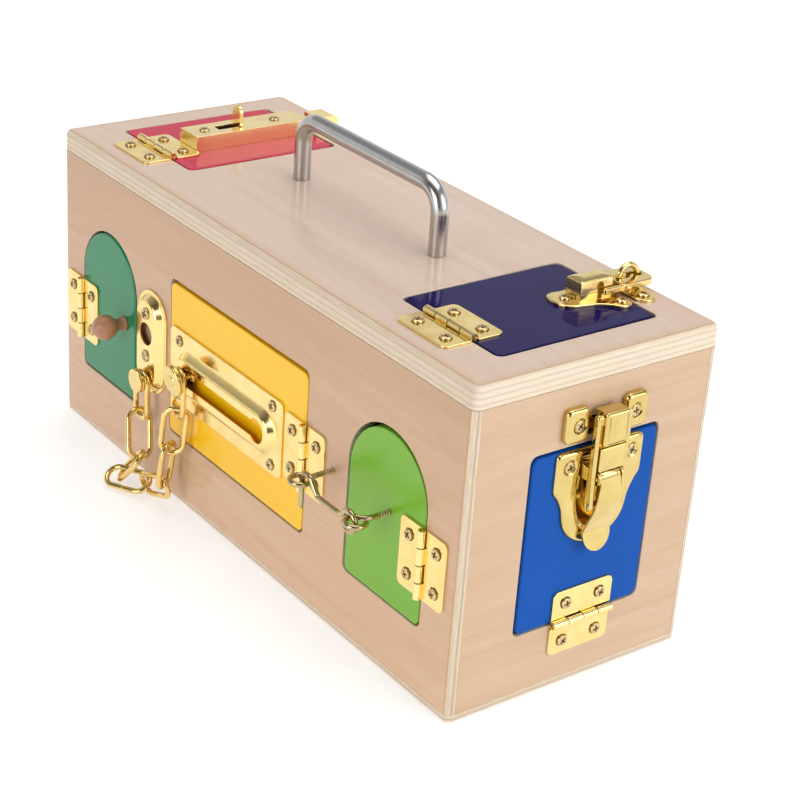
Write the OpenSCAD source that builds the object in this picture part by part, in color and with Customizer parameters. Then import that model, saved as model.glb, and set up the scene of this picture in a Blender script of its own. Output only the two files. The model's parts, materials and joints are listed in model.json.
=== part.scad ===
// Wooden lock box toy: a plywood case with six painted doors, each with its own
// hinge and its own fastening. Millimetres, +Z up. Origin at the centre of the
// case's underside. +X is the end with the blue door, -Y is the long front.

/* [Case] */
// Overall length of the case, along X
box_l = 387; // [385:1:400]
// Overall width of the case, along Y
box_w = 150; // [149:1:158]
// Overall height of the case without the handle
box_h = 179; // [178:1:186]
// Thickness of the top panel
top_t = 12; // [10:0.5:13]
// Thickness of the bottom panel
bottom_t = 4; // [3:0.5:5]
// Thickness of the front, back and end panels
wall_t = 9; // [8.5:0.5:9.5]
// Width of the front and back panel strip that shows on the end faces
lip_w = 4.5; // [4:0.5:5]
// Rounding of the vertical edges of the case
edge_r = 3; // [2:0.5:3.5]

/* [Doors] */
// Width of the arched door openings
arch_w = 63; // [62:0.5:63]
// Gap between a door and its opening on the free side
free_gap = 1.8; // [1.5:0.1:2]
// Gap between a door and its opening on the hinge side
hinge_gap = 0.8; // [0.6:0.1:1]
// Rounding of the lower corners of openings and doors
corner_r = 4; // [3:0.5:5]

/* [Hinges] */
// Length of each hinge along its pin
hinge_len = 38; // [37:0.5:38]
// Distance from the pin to the outer edge of a leaf
leaf_w = 18; // [17:0.5:18.5]
// Thickness of a hinge leaf
leaf_t = 1.2; // [1:0.1:1.4]
// Radius of the hinge barrel
knuckle_r = 2.1; // [2:0.1:2.3]
// Radius of the hinge pin
pin_r = 1.1; // [1:0.1:1.2]

/* [Screws] */
// Radius of a screw head
screw_head_r = 2.85; // [2.6:0.05:2.9]
// Radius of a screw shank
screw_r = 1.3; // [1.1:0.1:1.3]
// Depth of a screw in the wood
screw_depth = 7; // [6:0.5:7.5]

/* [Handle] */
// Distance between the two legs of the handle
handle_span = 124; // [120:1:128]
// Diameter of the handle bar
handle_d = 9.5; // [9:0.5:11]
// Height of the handle over the top panel
handle_h = 40; // [38:1:46]

/* [Chain] */
// Diameter of the chain wire
wire = 3; // [2.8:0.1:3]
// Length of one link, measured outside
link_l = 31; // [30.9:0.1:31.1]
// Width of one link, measured outside
link_w = 15.5; // [15.3:0.1:15.7]

/* [Hidden] */
$fn = 48;
e = 0.05;

// ---- places on the faces -------------------------------------------------
// Each frame has local z pointing out of the face.
module on_front(x, z) { translate([x, -box_w / 2, z]) rotate([90, 0, 0]) children(); }
module on_top(x, y) { translate([x, y, box_h]) children(); }
module on_end(y, z) { translate([box_l / 2, y, z]) rotate([90, 0, 90]) children(); }

wall_z0 = bottom_t;
wall_z1 = box_h - top_t;

// Door openings. Front: [x centre, width, z low, z high]
dg_x = -138.75;
lg_x = 134.1;
lg_w = 64.8;
arch_z0 = 39;
arch_z1 = 133;
ye = [-2.45, 135.7, 39.3, 132.8];
// Top: [x centre, width, y low, y high]
re = [-138, 76, -46, 51.8];
pu = [134.3, 76.5, -46, 53.2];
// End: [y centre, width, z low, z high]
bl = [1.5, 80, 36.8, 135];

// Hinge pin places in face coordinates
dg_pin = [dg_x - arch_w / 2 + hinge_gap / 2, 76];
ye_pin = [ye[0] + ye[1] / 2 - hinge_gap / 2, 85];
lg_pin = [lg_x + lg_w / 2 - hinge_gap / 2, 75.6];
re_pin = [-138, re[2] + hinge_gap / 2];
pu_pin = [135.3, pu[2] + hinge_gap / 2];
bl_pin = [3.5, bl[2] + hinge_gap / 2];
knuckle_z = knuckle_r + 0.1;
hinge_sx = 10.7;
hinge_sy = 10.75;

// Screws in face coordinates, each [a, b, height of the plate it holds]
function pair(a, b, dx, dy, h) = [[a + dx, b - dy, h], [a + dx, b + dy, h]];
function flat_pair(a, b, dx, dy, h) = [[a - dx, b + dy, h], [a + dx, b + dy, h]];

keeper_x = -88.4;
keeper_z = 86.2;
keeper_h = 5;
stud_z = 64.6;
track_z = 83.5;
slider_z = 84;
track_h = 5.2;
latch_y = 3.5;
ear_h = 4;
ear_x = 17.4;
ear_z = 147;
bolt_x = -133.8;
hasp_x = 139.7;

front_screws = concat(
  pair(dg_pin[0], dg_pin[1], -hinge_sx, hinge_sy, leaf_t),
  pair(ye_pin[0], ye_pin[1], hinge_sx, hinge_sy, leaf_t),
  pair(lg_pin[0], lg_pin[1], hinge_sx, hinge_sy, leaf_t),
  [[keeper_x, 78.8, keeper_h], [keeper_x, 104.6, keeper_h]]);
top_screws = concat(
  flat_pair(re_pin[0], re_pin[1], hinge_sy, -hinge_sx, leaf_t),
  flat_pair(pu_pin[0], pu_pin[1], hinge_sy, -hinge_sx, leaf_t),
  [[bolt_x - 11.2, 63.5, 1.2], [bolt_x + 11.2, 63.5, 1.2]],
  [[hasp_x - 12.5, 61, 1.5], [hasp_x + 12.5, 61, 1.5]]);
end_screws = concat(
  flat_pair(bl_pin[0], bl_pin[1], hinge_sy, -hinge_sx, leaf_t),
  [[latch_y - ear_x, ear_z, ear_h], [latch_y + ear_x, ear_z, ear_h]]);
dg_screws = pair(dg_pin[0], dg_pin[1], hinge_sx, hinge_sy, leaf_t);
ye_screws = concat(pair(ye_pin[0], ye_pin[1], -hinge_sx, hinge_sy, leaf_t),
  [[-58, 67, 1.2], [-58, 99.4, 1.2], [35.4, 67, 1.2], [35.4, 101, 1.2]]);
lg_screws = pair(lg_pin[0], lg_pin[1], -hinge_sx, hinge_sy, leaf_t);
re_screws = concat(flat_pair(re_pin[0], re_pin[1], hinge_sy, hinge_sx, leaf_t),
  [[bolt_x, -17, 9], [bolt_x, 30, 9]]);
pu_screws = concat(flat_pair(pu_pin[0], pu_pin[1], hinge_sy, hinge_sx, leaf_t),
  [[hasp_x - 3, 23.5, 1.5], [hasp_x - 13.2, 46.5, 1.5], [hasp_x + 13.2, 46.5, 1.5]]);
bl_screws = concat(flat_pair(bl_pin[0], bl_pin[1], hinge_sy, hinge_sx, leaf_t),
  [[latch_y - 19.3, 125, 1.5], [latch_y + 19.3, 125, 1.5]]);

// ---- shared shapes --------------------------------------------------------
module screw(h) {
  difference() {
    union() {
      translate([0, 0, 1.5 - screw_depth]) cylinder(r = screw_r, h = screw_depth + h - 1.9);
      translate([0, 0, -screw_depth]) cylinder(r1 = 0.25, r2 = screw_r, h = 1.5);
      translate([0, 0, h - 0.5]) cylinder(r = screw_head_r, h = 0.5);
      translate([0, 0, h]) cylinder(r1 = screw_head_r, r2 = screw_head_r * 0.62, h = 0.6);
    }
    for (a = [20, 110]) rotate(a) translate([-1.7, -0.35, h - 0.05]) cube([3.4, 0.7, 2]);
  }
}
module screw_hole(h) {
  translate([0, 0, -1]) cylinder(r = screw_r + 0.15, h = h + 2);
  translate([0, 0, h - 0.5]) cylinder(r = screw_head_r + 0.2, h = 2);
}
module pilot() { translate([0, 0, -screw_depth - 0.4]) cylinder(r = screw_r + e, h = screw_depth + 1); }

// Rectangle with rounded corners, from x0,y0 to x1,y1
module rrect(x0, y0, x1, y1, r) {
  translate([x0 + r, y0]) square([x1 - x0 - 2 * r, y1 - y0]);
  translate([x0, y0 + r]) square([x1 - x0, y1 - y0 - 2 * r]);
  for (x = [x0 + r, x1 - r]) for (y = [y0 + r, y1 - r]) translate([x, y]) circle(r);
}
// Upright outline with a round top and small lower corners
module arch(w, z0, z1, r) {
  s = z1 - w / 2;
  translate([-w / 2 + r, z0]) square([w - 2 * r, s - z0]);
  translate([-w / 2, z0 + r]) square([w, s - z0 - r]);
  for (x = [-w / 2 + r, w / 2 - r]) translate([x, z0 + r]) circle(r);
  translate([0, s]) circle(w / 2);
}
module obround(x0, x1, y, r) {
  translate([x0, y - r]) square([x1 - x0, 2 * r]);
  for (x = [x0, x1]) translate([x, y]) circle(r);
}
module slab(t, over = 0) { translate([0, 0, -t - over]) linear_extrude(t + 2 * over) children(); }

// ---- hinge, local y along the pin, +x towards the door -------------------
module hinge_leaf(own) {
  seg = hinge_len / 4;
  r = 3.2;
  x0 = knuckle_r + 0.5;
  color("gold") difference() {
    union() {
      linear_extrude(leaf_t) {
        translate([x0, -hinge_len / 2]) square([leaf_w - x0 - r, hinge_len]);
        translate([x0, -hinge_len / 2 + r]) square([leaf_w - x0, hinge_len - 2 * r]);
        for (s = [-1, 1]) translate([leaf_w - r, s * (hinge_len / 2 - r)]) circle(r);
        for (i = [own : 2 : 3]) translate([0, -hinge_len / 2 + i * seg + 0.15]) square([x0 + 1, seg - 0.3]);
      }
      for (i = [own : 2 : 3]) translate([0, -hinge_len / 2 + i * seg + 0.15, knuckle_z])
        rotate([-90, 0, 0]) cylinder(r = knuckle_r, h = seg - 0.3);
    }
    translate([0, -hinge_len / 2 - 1, knuckle_z]) rotate([-90, 0, 0]) cylinder(r = pin_r + e, h = hinge_len + 2);
    for (s = [-1, 1]) translate([hinge_sx, s * hinge_sy, 0]) screw_hole(leaf_t);
  }
}
module hinge_pin() {
  translate([0, -hinge_len / 2 + 0.6, knuckle_z]) rotate([-90, 0, 0]) cylinder(r = pin_r, h = hinge_len - 1.2);
}
module at_dg() { on_front(dg_pin[0], dg_pin[1]) children(); }
module at_ye() { on_front(ye_pin[0], ye_pin[1]) mirror([1, 0, 0]) children(); }
module at_lg() { on_front(lg_pin[0], lg_pin[1]) mirror([1, 0, 0]) children(); }
module at_re() { on_top(re_pin[0], re_pin[1]) rotate(90) children(); }
module at_pu() { on_top(pu_pin[0], pu_pin[1]) rotate(90) children(); }
module at_bl() { on_end(bl_pin[0], bl_pin[1]) rotate(90) children(); }
module frame_leaf() { mirror([1, 0, 0]) hinge_leaf(0); }
module door_leaf() { hinge_leaf(1); }

module dark_green_frame_leaf() { at_dg() frame_leaf(); }
module yellow_frame_leaf() { at_ye() frame_leaf(); }
module light_green_frame_leaf() { at_lg() frame_leaf(); }
module red_frame_leaf() { at_re() frame_leaf(); }
module purple_frame_leaf() { at_pu() frame_leaf(); }
module blue_frame_leaf() { at_bl() frame_leaf(); }
module dark_green_door_leaf() { at_dg() door_leaf(); }
module yellow_door_leaf() { at_ye() door_leaf(); }
module light_green_door_leaf() { at_lg() door_leaf(); }
module red_door_leaf() { at_re() door_leaf(); }
module purple_door_leaf() { at_pu() door_leaf(); }
module blue_door_leaf() { at_bl() door_leaf(); }
module hinge_pins() {
  color("goldenrod") {
    at_dg() hinge_pin();
    at_ye() hinge_pin();
    at_lg() hinge_pin();
    at_re() hinge_pin();
    at_pu() hinge_pin();
    at_bl() hinge_pin();
  }
}

// ---- screws ----------------------------------------------------------------
module screws_front(l) { color("darkgoldenrod") for (s = l) on_front(s[0], s[1]) screw(s[2]); }
module screws_top(l) { color("darkgoldenrod") for (s = l) on_top(s[0], s[1]) screw(s[2]); }
module screws_end(l) { color("darkgoldenrod") for (s = l) on_end(s[0], s[1]) screw(s[2]); }
module case_screws() {
  screws_front(front_screws);
  screws_top(top_screws);
  screws_end(end_screws);
}
module dark_green_door_screws() { screws_front(dg_screws); }
module yellow_door_screws() { screws_front(ye_screws); }
module light_green_door_screws() { screws_front(lg_screws); }
module red_door_screws() { screws_top(re_screws); }
module purple_door_screws() { screws_top(pu_screws); }
module blue_door_screws() { screws_end(bl_screws); }

// ---- case -----------------------------------------------------------------
// Eye screws: shank in the wood at [x, z]
frame_eye_at = [90.3, 89.4];
door_eye_at = [137.6, 89.2];
eye_off = 20;
eye_R = 5.1;
eye_r = 1.5;
knob_at = [-121.5, 84.5];
handle_x = -1.5;
handle_y = 3.3;

module long_panel() {
  // front panel, seen in plan; its ends are rabbeted over the end panels
  difference() {
    union() {
      translate([-box_l / 2 + edge_r, -box_w / 2]) square([box_l - 2 * edge_r, wall_t]);
      translate([-box_l / 2, -box_w / 2 + edge_r]) square([box_l, wall_t - edge_r]);
      for (s = [-1, 1]) translate([s * (box_l / 2 - edge_r), -box_w / 2 + edge_r]) circle(edge_r);
    }
    for (s = [-1, 1]) translate([s * (box_l / 2 - wall_t / 2), -box_w / 2 + lip_w + 10]) square([wall_t, 20], center = true);
  }
}
module front_panel() {
  color("burlywood") difference() {
    translate([0, 0, wall_z0]) linear_extrude(wall_z1 - wall_z0) long_panel();
    on_front(dg_x, 0) slab(wall_t, 1) arch(arch_w, arch_z0, arch_z1, corner_r);
    on_front(lg_x, 0) slab(wall_t, 1) arch(lg_w, arch_z0, arch_z1, corner_r);
    on_front(0, 0) slab(wall_t, 1) rrect(ye[0] - ye[1] / 2, ye[2], ye[0] + ye[1] / 2, ye[3], corner_r);
    for (s = front_screws) on_front(s[0], s[1]) pilot();
    on_front(frame_eye_at[0], frame_eye_at[1]) translate([0, 0, -7]) cylinder(r = eye_r + e, h = 8);
    on_front(keeper_x, stud_z) translate([0, 0, -6]) cylinder(r = 2 + e, h = 7);
  }
}
module back_panel() {
  color("burlywood") translate([0, 0, wall_z0]) linear_extrude(wall_z1 - wall_z0) mirror([0, 1]) long_panel();
}
module end_plan() { square([wall_t, box_w - 2 * lip_w], center = true); }
module left_end_panel() {
  color("burlywood") translate([-box_l / 2 + wall_t / 2, 0, wall_z0]) linear_extrude(wall_z1 - wall_z0) end_plan();
}
module right_end_panel() {
  color("burlywood") difference() {
    translate([box_l / 2 - wall_t / 2, 0, wall_z0]) linear_extrude(wall_z1 - wall_z0) end_plan();
    on_end(bl[0], 0) slab(wall_t, 1) rrect(-bl[1] / 2, bl[2], bl[1] / 2, bl[3], corner_r);
    for (s = end_screws) on_end(s[0], s[1]) pilot();
  }
}
module top_panel() {
  color("wheat") difference() {
    translate([0, 0, box_h - top_t]) linear_extrude(top_t) rrect(-box_l / 2, -box_w / 2, box_l / 2, box_w / 2, edge_r + 1.5);
    on_top(0, 0) slab(top_t, 1) rrect(re[0] - re[1] / 2, re[2], re[0] + re[1] / 2, re[3], corner_r);
    on_top(0, 0) slab(top_t, 1) rrect(pu[0] - pu[1] / 2, pu[2], pu[0] + pu[1] / 2, pu[3], corner_r);
    for (s = top_screws) on_top(s[0], s[1]) pilot();
    for (s = [-1, 1]) translate([handle_x + s * handle_span / 2, handle_y, box_h - top_t - 1]) cylinder(r = 2.1, h = top_t + 2);
  }
}
module bottom_panel() {
  color("wheat") linear_extrude(bottom_t) rrect(-box_l / 2, -box_w / 2, box_l / 2, box_w / 2, edge_r + 1.5);
}
// Glued blocks behind the free edges of the doors
module door_stops() {
  color("tan") {
    translate([ye[0] - ye[1] / 2 - 10, -box_w / 2 + wall_t, 70]) cube([16, 8, 26]);
    translate([lg_x - lg_w / 2 - 10, -box_w / 2 + wall_t, 60]) cube([16, 8, 26]);
    translate([box_l / 2 - wall_t - 8, bl[0] - 13, bl[3] - 6]) cube([8, 26, 16]);
    for (d = [re, pu]) translate([d[0] - 13, d[3] - 6, box_h - top_t - 8]) cube([26, 13, 8]);
  }
}

// ---- handle ------------------------------------------------------------
module handle() {
  r = handle_d / 2;
  b = 13.5;
  zt = handle_h - r;
  color("gainsboro") translate([handle_x, handle_y, box_h]) difference() {
    union() {
      for (s = [-1, 1]) {
        translate([s * handle_span / 2, 0, 0]) cylinder(r = r, h = zt - b);
        translate([s * (handle_span / 2 - b), 0, zt - b]) rotate([90, 0, 0])
          rotate([0, 0, s > 0 ? 0 : 90]) rotate_extrude(angle = 90) translate([b, 0]) circle(r);
      }
      translate([-handle_span / 2 + b, 0, zt]) rotate([0, 90, 0]) cylinder(r = r, h = handle_span - 2 * b);
    }
    for (s = [-1, 1]) translate([s * handle_span / 2, 0, -1]) cylinder(r = 2 + e, h = 14);
  }
}
module handle_screws() {
  color("silver") for (s = [-1, 1]) translate([handle_x + s * handle_span / 2, handle_y, box_h - top_t]) difference() {
    union() {
      translate([0, 0, -2.6]) cylinder(r = 4.2, h = 2.6);
      translate([0, 0, -1]) cylinder(r = 2, h = top_t + 11);
    }
    for (a = [0, 90]) rotate(a) translate([-2.4, -0.5, -3]) cube([4.8, 1, 1.6]);
  }
}

// ---- dark green door with knob and magnetic catch --------------------------
dg_w = arch_w - free_gap - hinge_gap;
module dark_green_door() {
  color("seagreen") difference() {
    on_front(dg_x - (free_gap - hinge_gap) / 2, 0) slab(wall_t) arch(dg_w, arch_z0 + 1.3, arch_z1 - 1.3, corner_r);
    for (s = dg_screws) on_front(s[0], s[1]) pilot();
    on_front(knob_at[0], knob_at[1]) translate([0, 0, -7]) cylinder(r = 3 + e, h = 8);
  }
}
module wooden_knob() {
  color("peru") on_front(knob_at[0], knob_at[1]) {
    difference() {
      union() {
        translate([0, 0, 12.6]) sphere(7.4);
        cylinder(r1 = 4.4, r2 = 3.7, h = 2.5);
        translate([0, 0, 2.5]) cylinder(r = 3.7, h = 5);
        translate([0, 0, -6.8]) cylinder(r = 3, h = 7.5);
      }
      translate([0, 0, -7]) cylinder(r = 0.6, h = 1);
    }
  }
}
module strike_plate() {
  color("silver") translate([dg_x + arch_w / 2 - free_gap - 13, -box_w / 2 + wall_t, 76]) cube([12, 1, 22]);
}
module magnetic_catch() {
  x1 = dg_x + arch_w / 2;
  color("dimgray") translate([x1 - 13, -box_w / 2 + wall_t, 74]) difference() {
    cube([26, 12, 26]);
    translate([-1, -1, -1]) cube([14.4, 2.1, 28]);
  }
}

// ---- yellow door with chain lock ----------------------------------------
module yellow_door() {
  color("gold") difference() {
    on_front(0, 0) slab(wall_t) rrect(ye[0] - ye[1] / 2 + free_gap / 2, ye[2] + 1.3, ye[0] + ye[1] / 2 - hinge_gap, ye[3] - 2.2, corner_r);
    for (s = ye_screws) on_front(s[0], s[1]) pilot();
  }
}
slot_x0 = -46;
slot_x1 = 26.5;
module track_plate() {
  color("gold") on_front(0, 0) difference() {
    union() {
      linear_extrude(1.2) rrect(-67.8, 61.8, 45, 106.2, 4);
      linear_extrude(track_h) obround(slot_x0 - 1, slot_x1 + 1, track_z, 9.6);
    }
    translate([0, 0, -1]) linear_extrude(track_h - 0.2) obround(slot_x0 - 1, slot_x1 + 1, track_z, 8.4);
    translate([0, 0, -1]) linear_extrude(track_h + 2) obround(slot_x0, slot_x1, track_z, 5.1);
    translate([slot_x1, track_z, -1]) cylinder(r = 7.2, h = track_h + 2);
    for (s = [2 : 5]) translate([ye_screws[s][0], ye_screws[s][1], 0]) screw_hole(1.2);
  }
}
module chain_keeper_plate() {
  color("gold") on_front(keeper_x, 0) difference() {
    union() {
      rotate(90) linear_extrude(1.2) obround(keeper_z - 15.5, keeper_z + 15.5, 0, 15.5);
      rotate(90) linear_extrude(keeper_h) obround(keeper_z - 15.5, keeper_z + 15.5, 0, 12.5);
    }
    rotate(90) translate([0, 0, -1]) linear_extrude(keeper_h - 0.2) obround(keeper_z - 15.5, keeper_z + 15.5, 0, 11.3);
    translate([0, 92.2, -1]) cylinder(r = 7.1, h = keeper_h + 2);
    translate([0, stud_z, -1]) cylinder(r = 2.5 + e, h = keeper_h + 2);
    translate([0, 78.8, 0]) screw_hole(keeper_h);
    translate([0, 104.6, 0]) screw_hole(keeper_h);
  }
}
module chain_anchor_stud() {
  color("gold") on_front(keeper_x, stud_z) {
    translate([0, 0, -5.5]) cylinder(r = 2, h = 6);
    cylinder(r = 2.5, h = 9);
    translate([0, 0, 9]) cylinder(r = 7, h = 2.6);
    translate([0, 0, 11.6]) cylinder(r1 = 7, r2 = 6.2, h = 0.5);
  }
}

// One link: its long axis along local z, its width along local x
link_d = link_l - wire;
link_m = link_w - wire;
module link_shape() {
  r = wire / 2;
  s = (link_d - link_m) / 2;
  union() {
    for (x = [-1, 1]) translate([x * link_m / 2, 0, -s]) cylinder(r = r, h = 2 * s);
    translate([0, 0, s]) rotate([90, 0, 0]) rotate_extrude(angle = 180) translate([link_m / 2, 0]) circle(r);
    translate([0, 0, -s]) rotate([-90, 0, 0]) rotate_extrude(angle = 180) translate([link_m / 2, 0]) circle(r);
  }
}
function unit(v) = v / norm(v);
// A link from the wire centre of one end towards the other, lying in the plane of side
module link(from, to, side) {
  d = unit(to - from);
  x = unit(side - (side * d) * d);
  y = cross(d, x);
  c = from + d * link_d / 2;
  multmatrix([[x[0], y[0], d[0], c[0]], [x[1], y[1], d[1], c[1]], [x[2], y[2], d[2], c[2]], [0, 0, 0, 1]]) link_shape();
}
yf = -box_w / 2;
// Hanging points of the links, from the anchor stud down towards the floor
module chain_links_fixed_side() {
  color("gold") {
    link([keeper_x, yf - 7.2, stud_z + 2.5 + wire / 2 + 0.4], [keeper_x, yf - 7.2, 30], [1, 0, 0]);
    link([-89.2, yf - 8.2, 46], [-76.5, yf - 15, 22], [0.2, 0.98, 0]);
    link([-72.6, yf - 16.6, 25], [-93.6, yf - 18, 3.4], [0.5, -0.74, -0.43]);
  }
}
// The two links that lie at the bottom of the loop
module chain_links_bottom() {
  color("gold") {
    link([-95.4, yf - 25, 5.6], [-70.4, yf - 13, 7.2], [-0.36, 0.76, 0.54]);
    link([-75.4, yf - 13, 6.4], [-48, yf - 13, 16], [0.28, 0.2, -0.92]);
  }
}
// Up the other side to the slider button
module chain_links_slider_side() {
  color("gold") {
    link([-50, yf - 11.4, 42.2], [-54, yf - 13, 13], [0.5, -0.87, 0]);
    link([-46.6, yf - 9, 65.2], [-49, yf - 11, 37], [0.6, 0.8, 0]);
    link([slot_x0, yf - 8.4, slider_z + 3.1 + wire / 2 + 0.2], [slot_x0, yf - 8.4, 50], [0.995, -0.1, 0]);
  }
}
module chain_slider() {
  color("gold") on_front(slot_x0, slider_z) difference() {
    union() {
      translate([0, 0, 1.2]) cylinder(r = 5.8, h = 1.6);
      translate([0, 0, 2]) cylinder(r = 3.1, h = 10);
      translate([0, 0, 10.6]) cylinder(r = 9, h = 2.6);
      translate([0, 0, 13.2]) cylinder(r1 = 9, r2 = 7.6, h = 0.6);
    }
    translate([0, 0, 13]) cylinder(r1 = 2, r2 = 3.4, h = 1);
  }
}

// ---- light green door with hook and eye -------------------------------------
module light_green_door() {
  color("yellowgreen") difference() {
    on_front(lg_x + (free_gap - hinge_gap) / 2, 0) slab(wall_t) arch(lg_w - free_gap - hinge_gap, arch_z0 + 0.9, arch_z1 - 2.2, corner_r);
    for (s = lg_screws) on_front(s[0], s[1]) pilot();
    on_front(door_eye_at[0], door_eye_at[1]) translate([0, 0, -7]) cylinder(r = eye_r + e, h = 8);
  }
}
module eye() {
  color("darkkhaki") {
    translate([0, 0, -6.6]) cylinder(r = eye_r, h = 6.6 + eye_off - eye_R);
    translate([0, 0, eye_off]) rotate([90, 0, 0]) rotate_extrude() translate([eye_R, 0]) circle(eye_r);
  }
}
module frame_eye() { on_front(frame_eye_at[0], frame_eye_at[1]) eye(); }
module door_eye() { on_front(door_eye_at[0], door_eye_at[1]) eye(); }
// The hook lies in one upright plane; its points are [x, z] in that plane
hook_R = 5.2;
hook_c = [door_eye_at[0] - eye_R, door_eye_at[1] - 1.9];
hook_pts = [[hook_c[0] - hook_R, hook_c[1]], [106, hook_c[1]], [99.4, 95], [92.2, 95], [91.9, 77]];
// Bent wire in the local xy plane, swept along a route as one closed skin
function arc_pts(c, r, a0, a1, n) = [for (i = [0 : n]) c + r * [cos(a0 + (a1 - a0) * i / n), sin(a0 + (a1 - a0) * i / n)]];
function turn(a, b, c) = let (u = unit(b - a), v = unit(c - b)) atan2(u[0] * v[1] - u[1] * v[0], u * v);
function bend(a, b, c, rb) = let (u = unit(b - a), t = turn(a, b, c), g = t > 0 ? 1 : -1,
  m = b - u * rb * tan(abs(t) / 2) + [-u[1], u[0]] * rb * g, a0 = atan2(u[1], u[0]) - 90 * g) arc_pts(m, rb, a0, a0 + t, 6);
function tangent(p, i) = unit(p[min(i + 1, len(p) - 1)] - p[max(i - 1, 0)]);
module wire_along(p, r, tip_r, k = 14) {
  n = len(p);
  pts = [for (i = [0 : n - 1]) let (t = tangent(p, i), q = i == n - 1 ? tip_r : r)
    for (j = [0 : k - 1]) let (a = 360 * j / k) [p[i][0] - t[1] * q * cos(a), p[i][1] + t[0] * q * cos(a), q * sin(a)]];
  skin = [for (i = [0 : n - 2]) for (j = [0 : k - 1]) let (j2 = (j + 1) % k)
    each [[i * k + j, (i + 1) * k + j, (i + 1) * k + j2], [i * k + j, (i + 1) * k + j2, i * k + j2]]];
  caps = [[for (j = [0 : k - 1]) j], [for (j = [k - 1 : -1 : 0]) (n - 1) * k + j]];
  polyhedron(points = pts, faces = concat(skin, caps), convexity = 6);
}
h = hook_pts;
hook_route = concat(arc_pts(hook_c, hook_R, 205, 515, 30), [hook_c + [-6.6, 0.7], hook_c + [-8.6, 0]],
  bend(h[0], h[1], h[2], 3), bend(h[1], h[2], h[3], 3), bend(h[2], h[3], h[4], 2.6), [h[4], h[4] + [0.1, -2.2]]);
module hook() {
  color("darkkhaki") translate([0, yf - eye_off, 0]) rotate([90, 0, 0]) wire_along(hook_route, 1.5, 0.9);
}

// ---- blue door with draw latch --------------------------------------------
module blue_door() {
  color("royalblue") difference() {
    on_end(bl[0], 0) slab(wall_t) rrect(-bl[1] / 2 + 1.4, bl[2] + hinge_gap, bl[1] / 2 - 0.7, bl[3] - free_gap, corner_r);
    for (s = bl_screws) on_end(s[0], s[1]) pilot();
  }
}
// Pivots of the latch, [z, distance from the face]
p1 = [118.5, 7.5];
p2 = [104.5, 7];
module latch_keeper() {
  color("gold") on_end(latch_y, 0) difference() {
    union() {
      for (s = [-1, 1]) translate([s * 18.3, 0, 0]) linear_extrude(ear_h) rrect(-7, 138, 7, 156, 3);
      translate([-12, 139.5, 0]) cube([24, 10.5, 1.4]);
      translate([-6, 141.5, 0]) cube([12, 5, 5.6]);
      translate([-6, 141.5, 4.6]) cube([12, 8.5, 1]);
    }
    for (s = [-1, 1]) translate([s * ear_x, ear_z, 0]) screw_hole(ear_h);
  }
}
// Half width of the base plate at each height
base_outline = [[133, 23.8], [132.2, 26], [130, 27.2], [114.6, 27.2], [111.4, 26.6], [108.4, 24.4], [104.8, 22.4], [101, 21],
  [96, 20], [92, 18.9], [88.4, 16.9], [85.4, 14.2], [83, 11], [81.2, 7.2], [80.4, 3.4]];
module latch_base() {
  color("gold") on_end(latch_y, 0) difference() {
    union() {
      linear_extrude(1.5) polygon(concat([for (p = base_outline) [p[1], p[0]]],
        [for (i = [len(base_outline) - 1 : -1 : 0]) [-base_outline[i][1], base_outline[i][0]]]));
      for (s = [-1, 1]) translate([s * 7.05 - 0.6, 0, 0]) rotate([90, 0, 90]) linear_extrude(1.2) {
        translate([p1[0] - 3.6, 0.5]) square([7.2, p1[1] - 0.5]);
        translate(p1) circle(3.6);
      }
    }
    translate([-20, p1[0], p1[1]]) rotate([0, 90, 0]) cylinder(r = 1.5 + e, h = 40);
    for (s = [-1, 1]) translate([s * 19.3, 125, 0]) screw_hole(1.5);
  }
}
module latch_lever_pin() {
  color("goldenrod") on_end(latch_y, 0) translate([-7.9, p1[0], p1[1]]) rotate([0, 90, 0]) cylinder(r = 1.5, h = 15.8);
}
// Side view of the curved lever plate, [z, distance from the face]
lever_out = [[121, 9.4], [119, 10.4], [115, 11.2], [110, 11.5], [105, 11.1], [100, 9.9], [95, 8], [90.5, 6], [88, 5.4], [84, 6], [77.4, 7.5]];
lever_in = [[77.2, 6.2], [84, 4.6], [88, 3.9], [91, 4.5], [95.5, 6.5], [100.4, 8.4], [105, 9.5], [110, 9.9], [115, 9.6], [118.6, 8.9], [120.6, 8.4]];
module latch_lever() {
  color("gold") on_end(latch_y, 0) difference() {
    union() {
      translate([-5.9, 0, 0]) rotate([90, 0, 90]) linear_extrude(11.8) polygon(concat(lever_out, lever_in));
      // the broad lower part, narrowed to a round thumb tab at its end
      intersection() {
        translate([-9, 0, 0]) rotate([90, 0, 90]) linear_extrude(18) polygon(concat(lever_out, lever_in));
        linear_extrude(20) polygon([[-7.2, 112], [7.2, 112], [7.7, 104], [7.9, 100], [8.6, 94], [8.7, 88.5], [8.5, 85.4], [7.6, 81.8], [5.4, 78.8], [2, 77.3],
          [-2, 77.3], [-5.4, 78.8], [-7.6, 81.8], [-8.5, 85.4], [-8.7, 88.5], [-8.6, 94], [-7.9, 100], [-7.7, 104]]);
      }
      for (s = [-1, 1]) translate([s * 5.1 - 0.7, 0, 0]) rotate([90, 0, 90]) linear_extrude(1.4) {
        translate(p1) circle(3.2);
        translate(p2) circle(3.2);
        polygon([[p1[0] + 1, p1[1] + 2.6], [p1[0], p1[1] - 3], [p2[0], p2[1] - 3], [p2[0] - 1, p2[1] + 3.4]]);
      }
    }
    for (p = [p1, p2]) translate([-20, p[0], p[1]]) rotate([0, 90, 0]) cylinder(r = 1.5 + e, h = 40);
  }
}
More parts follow.
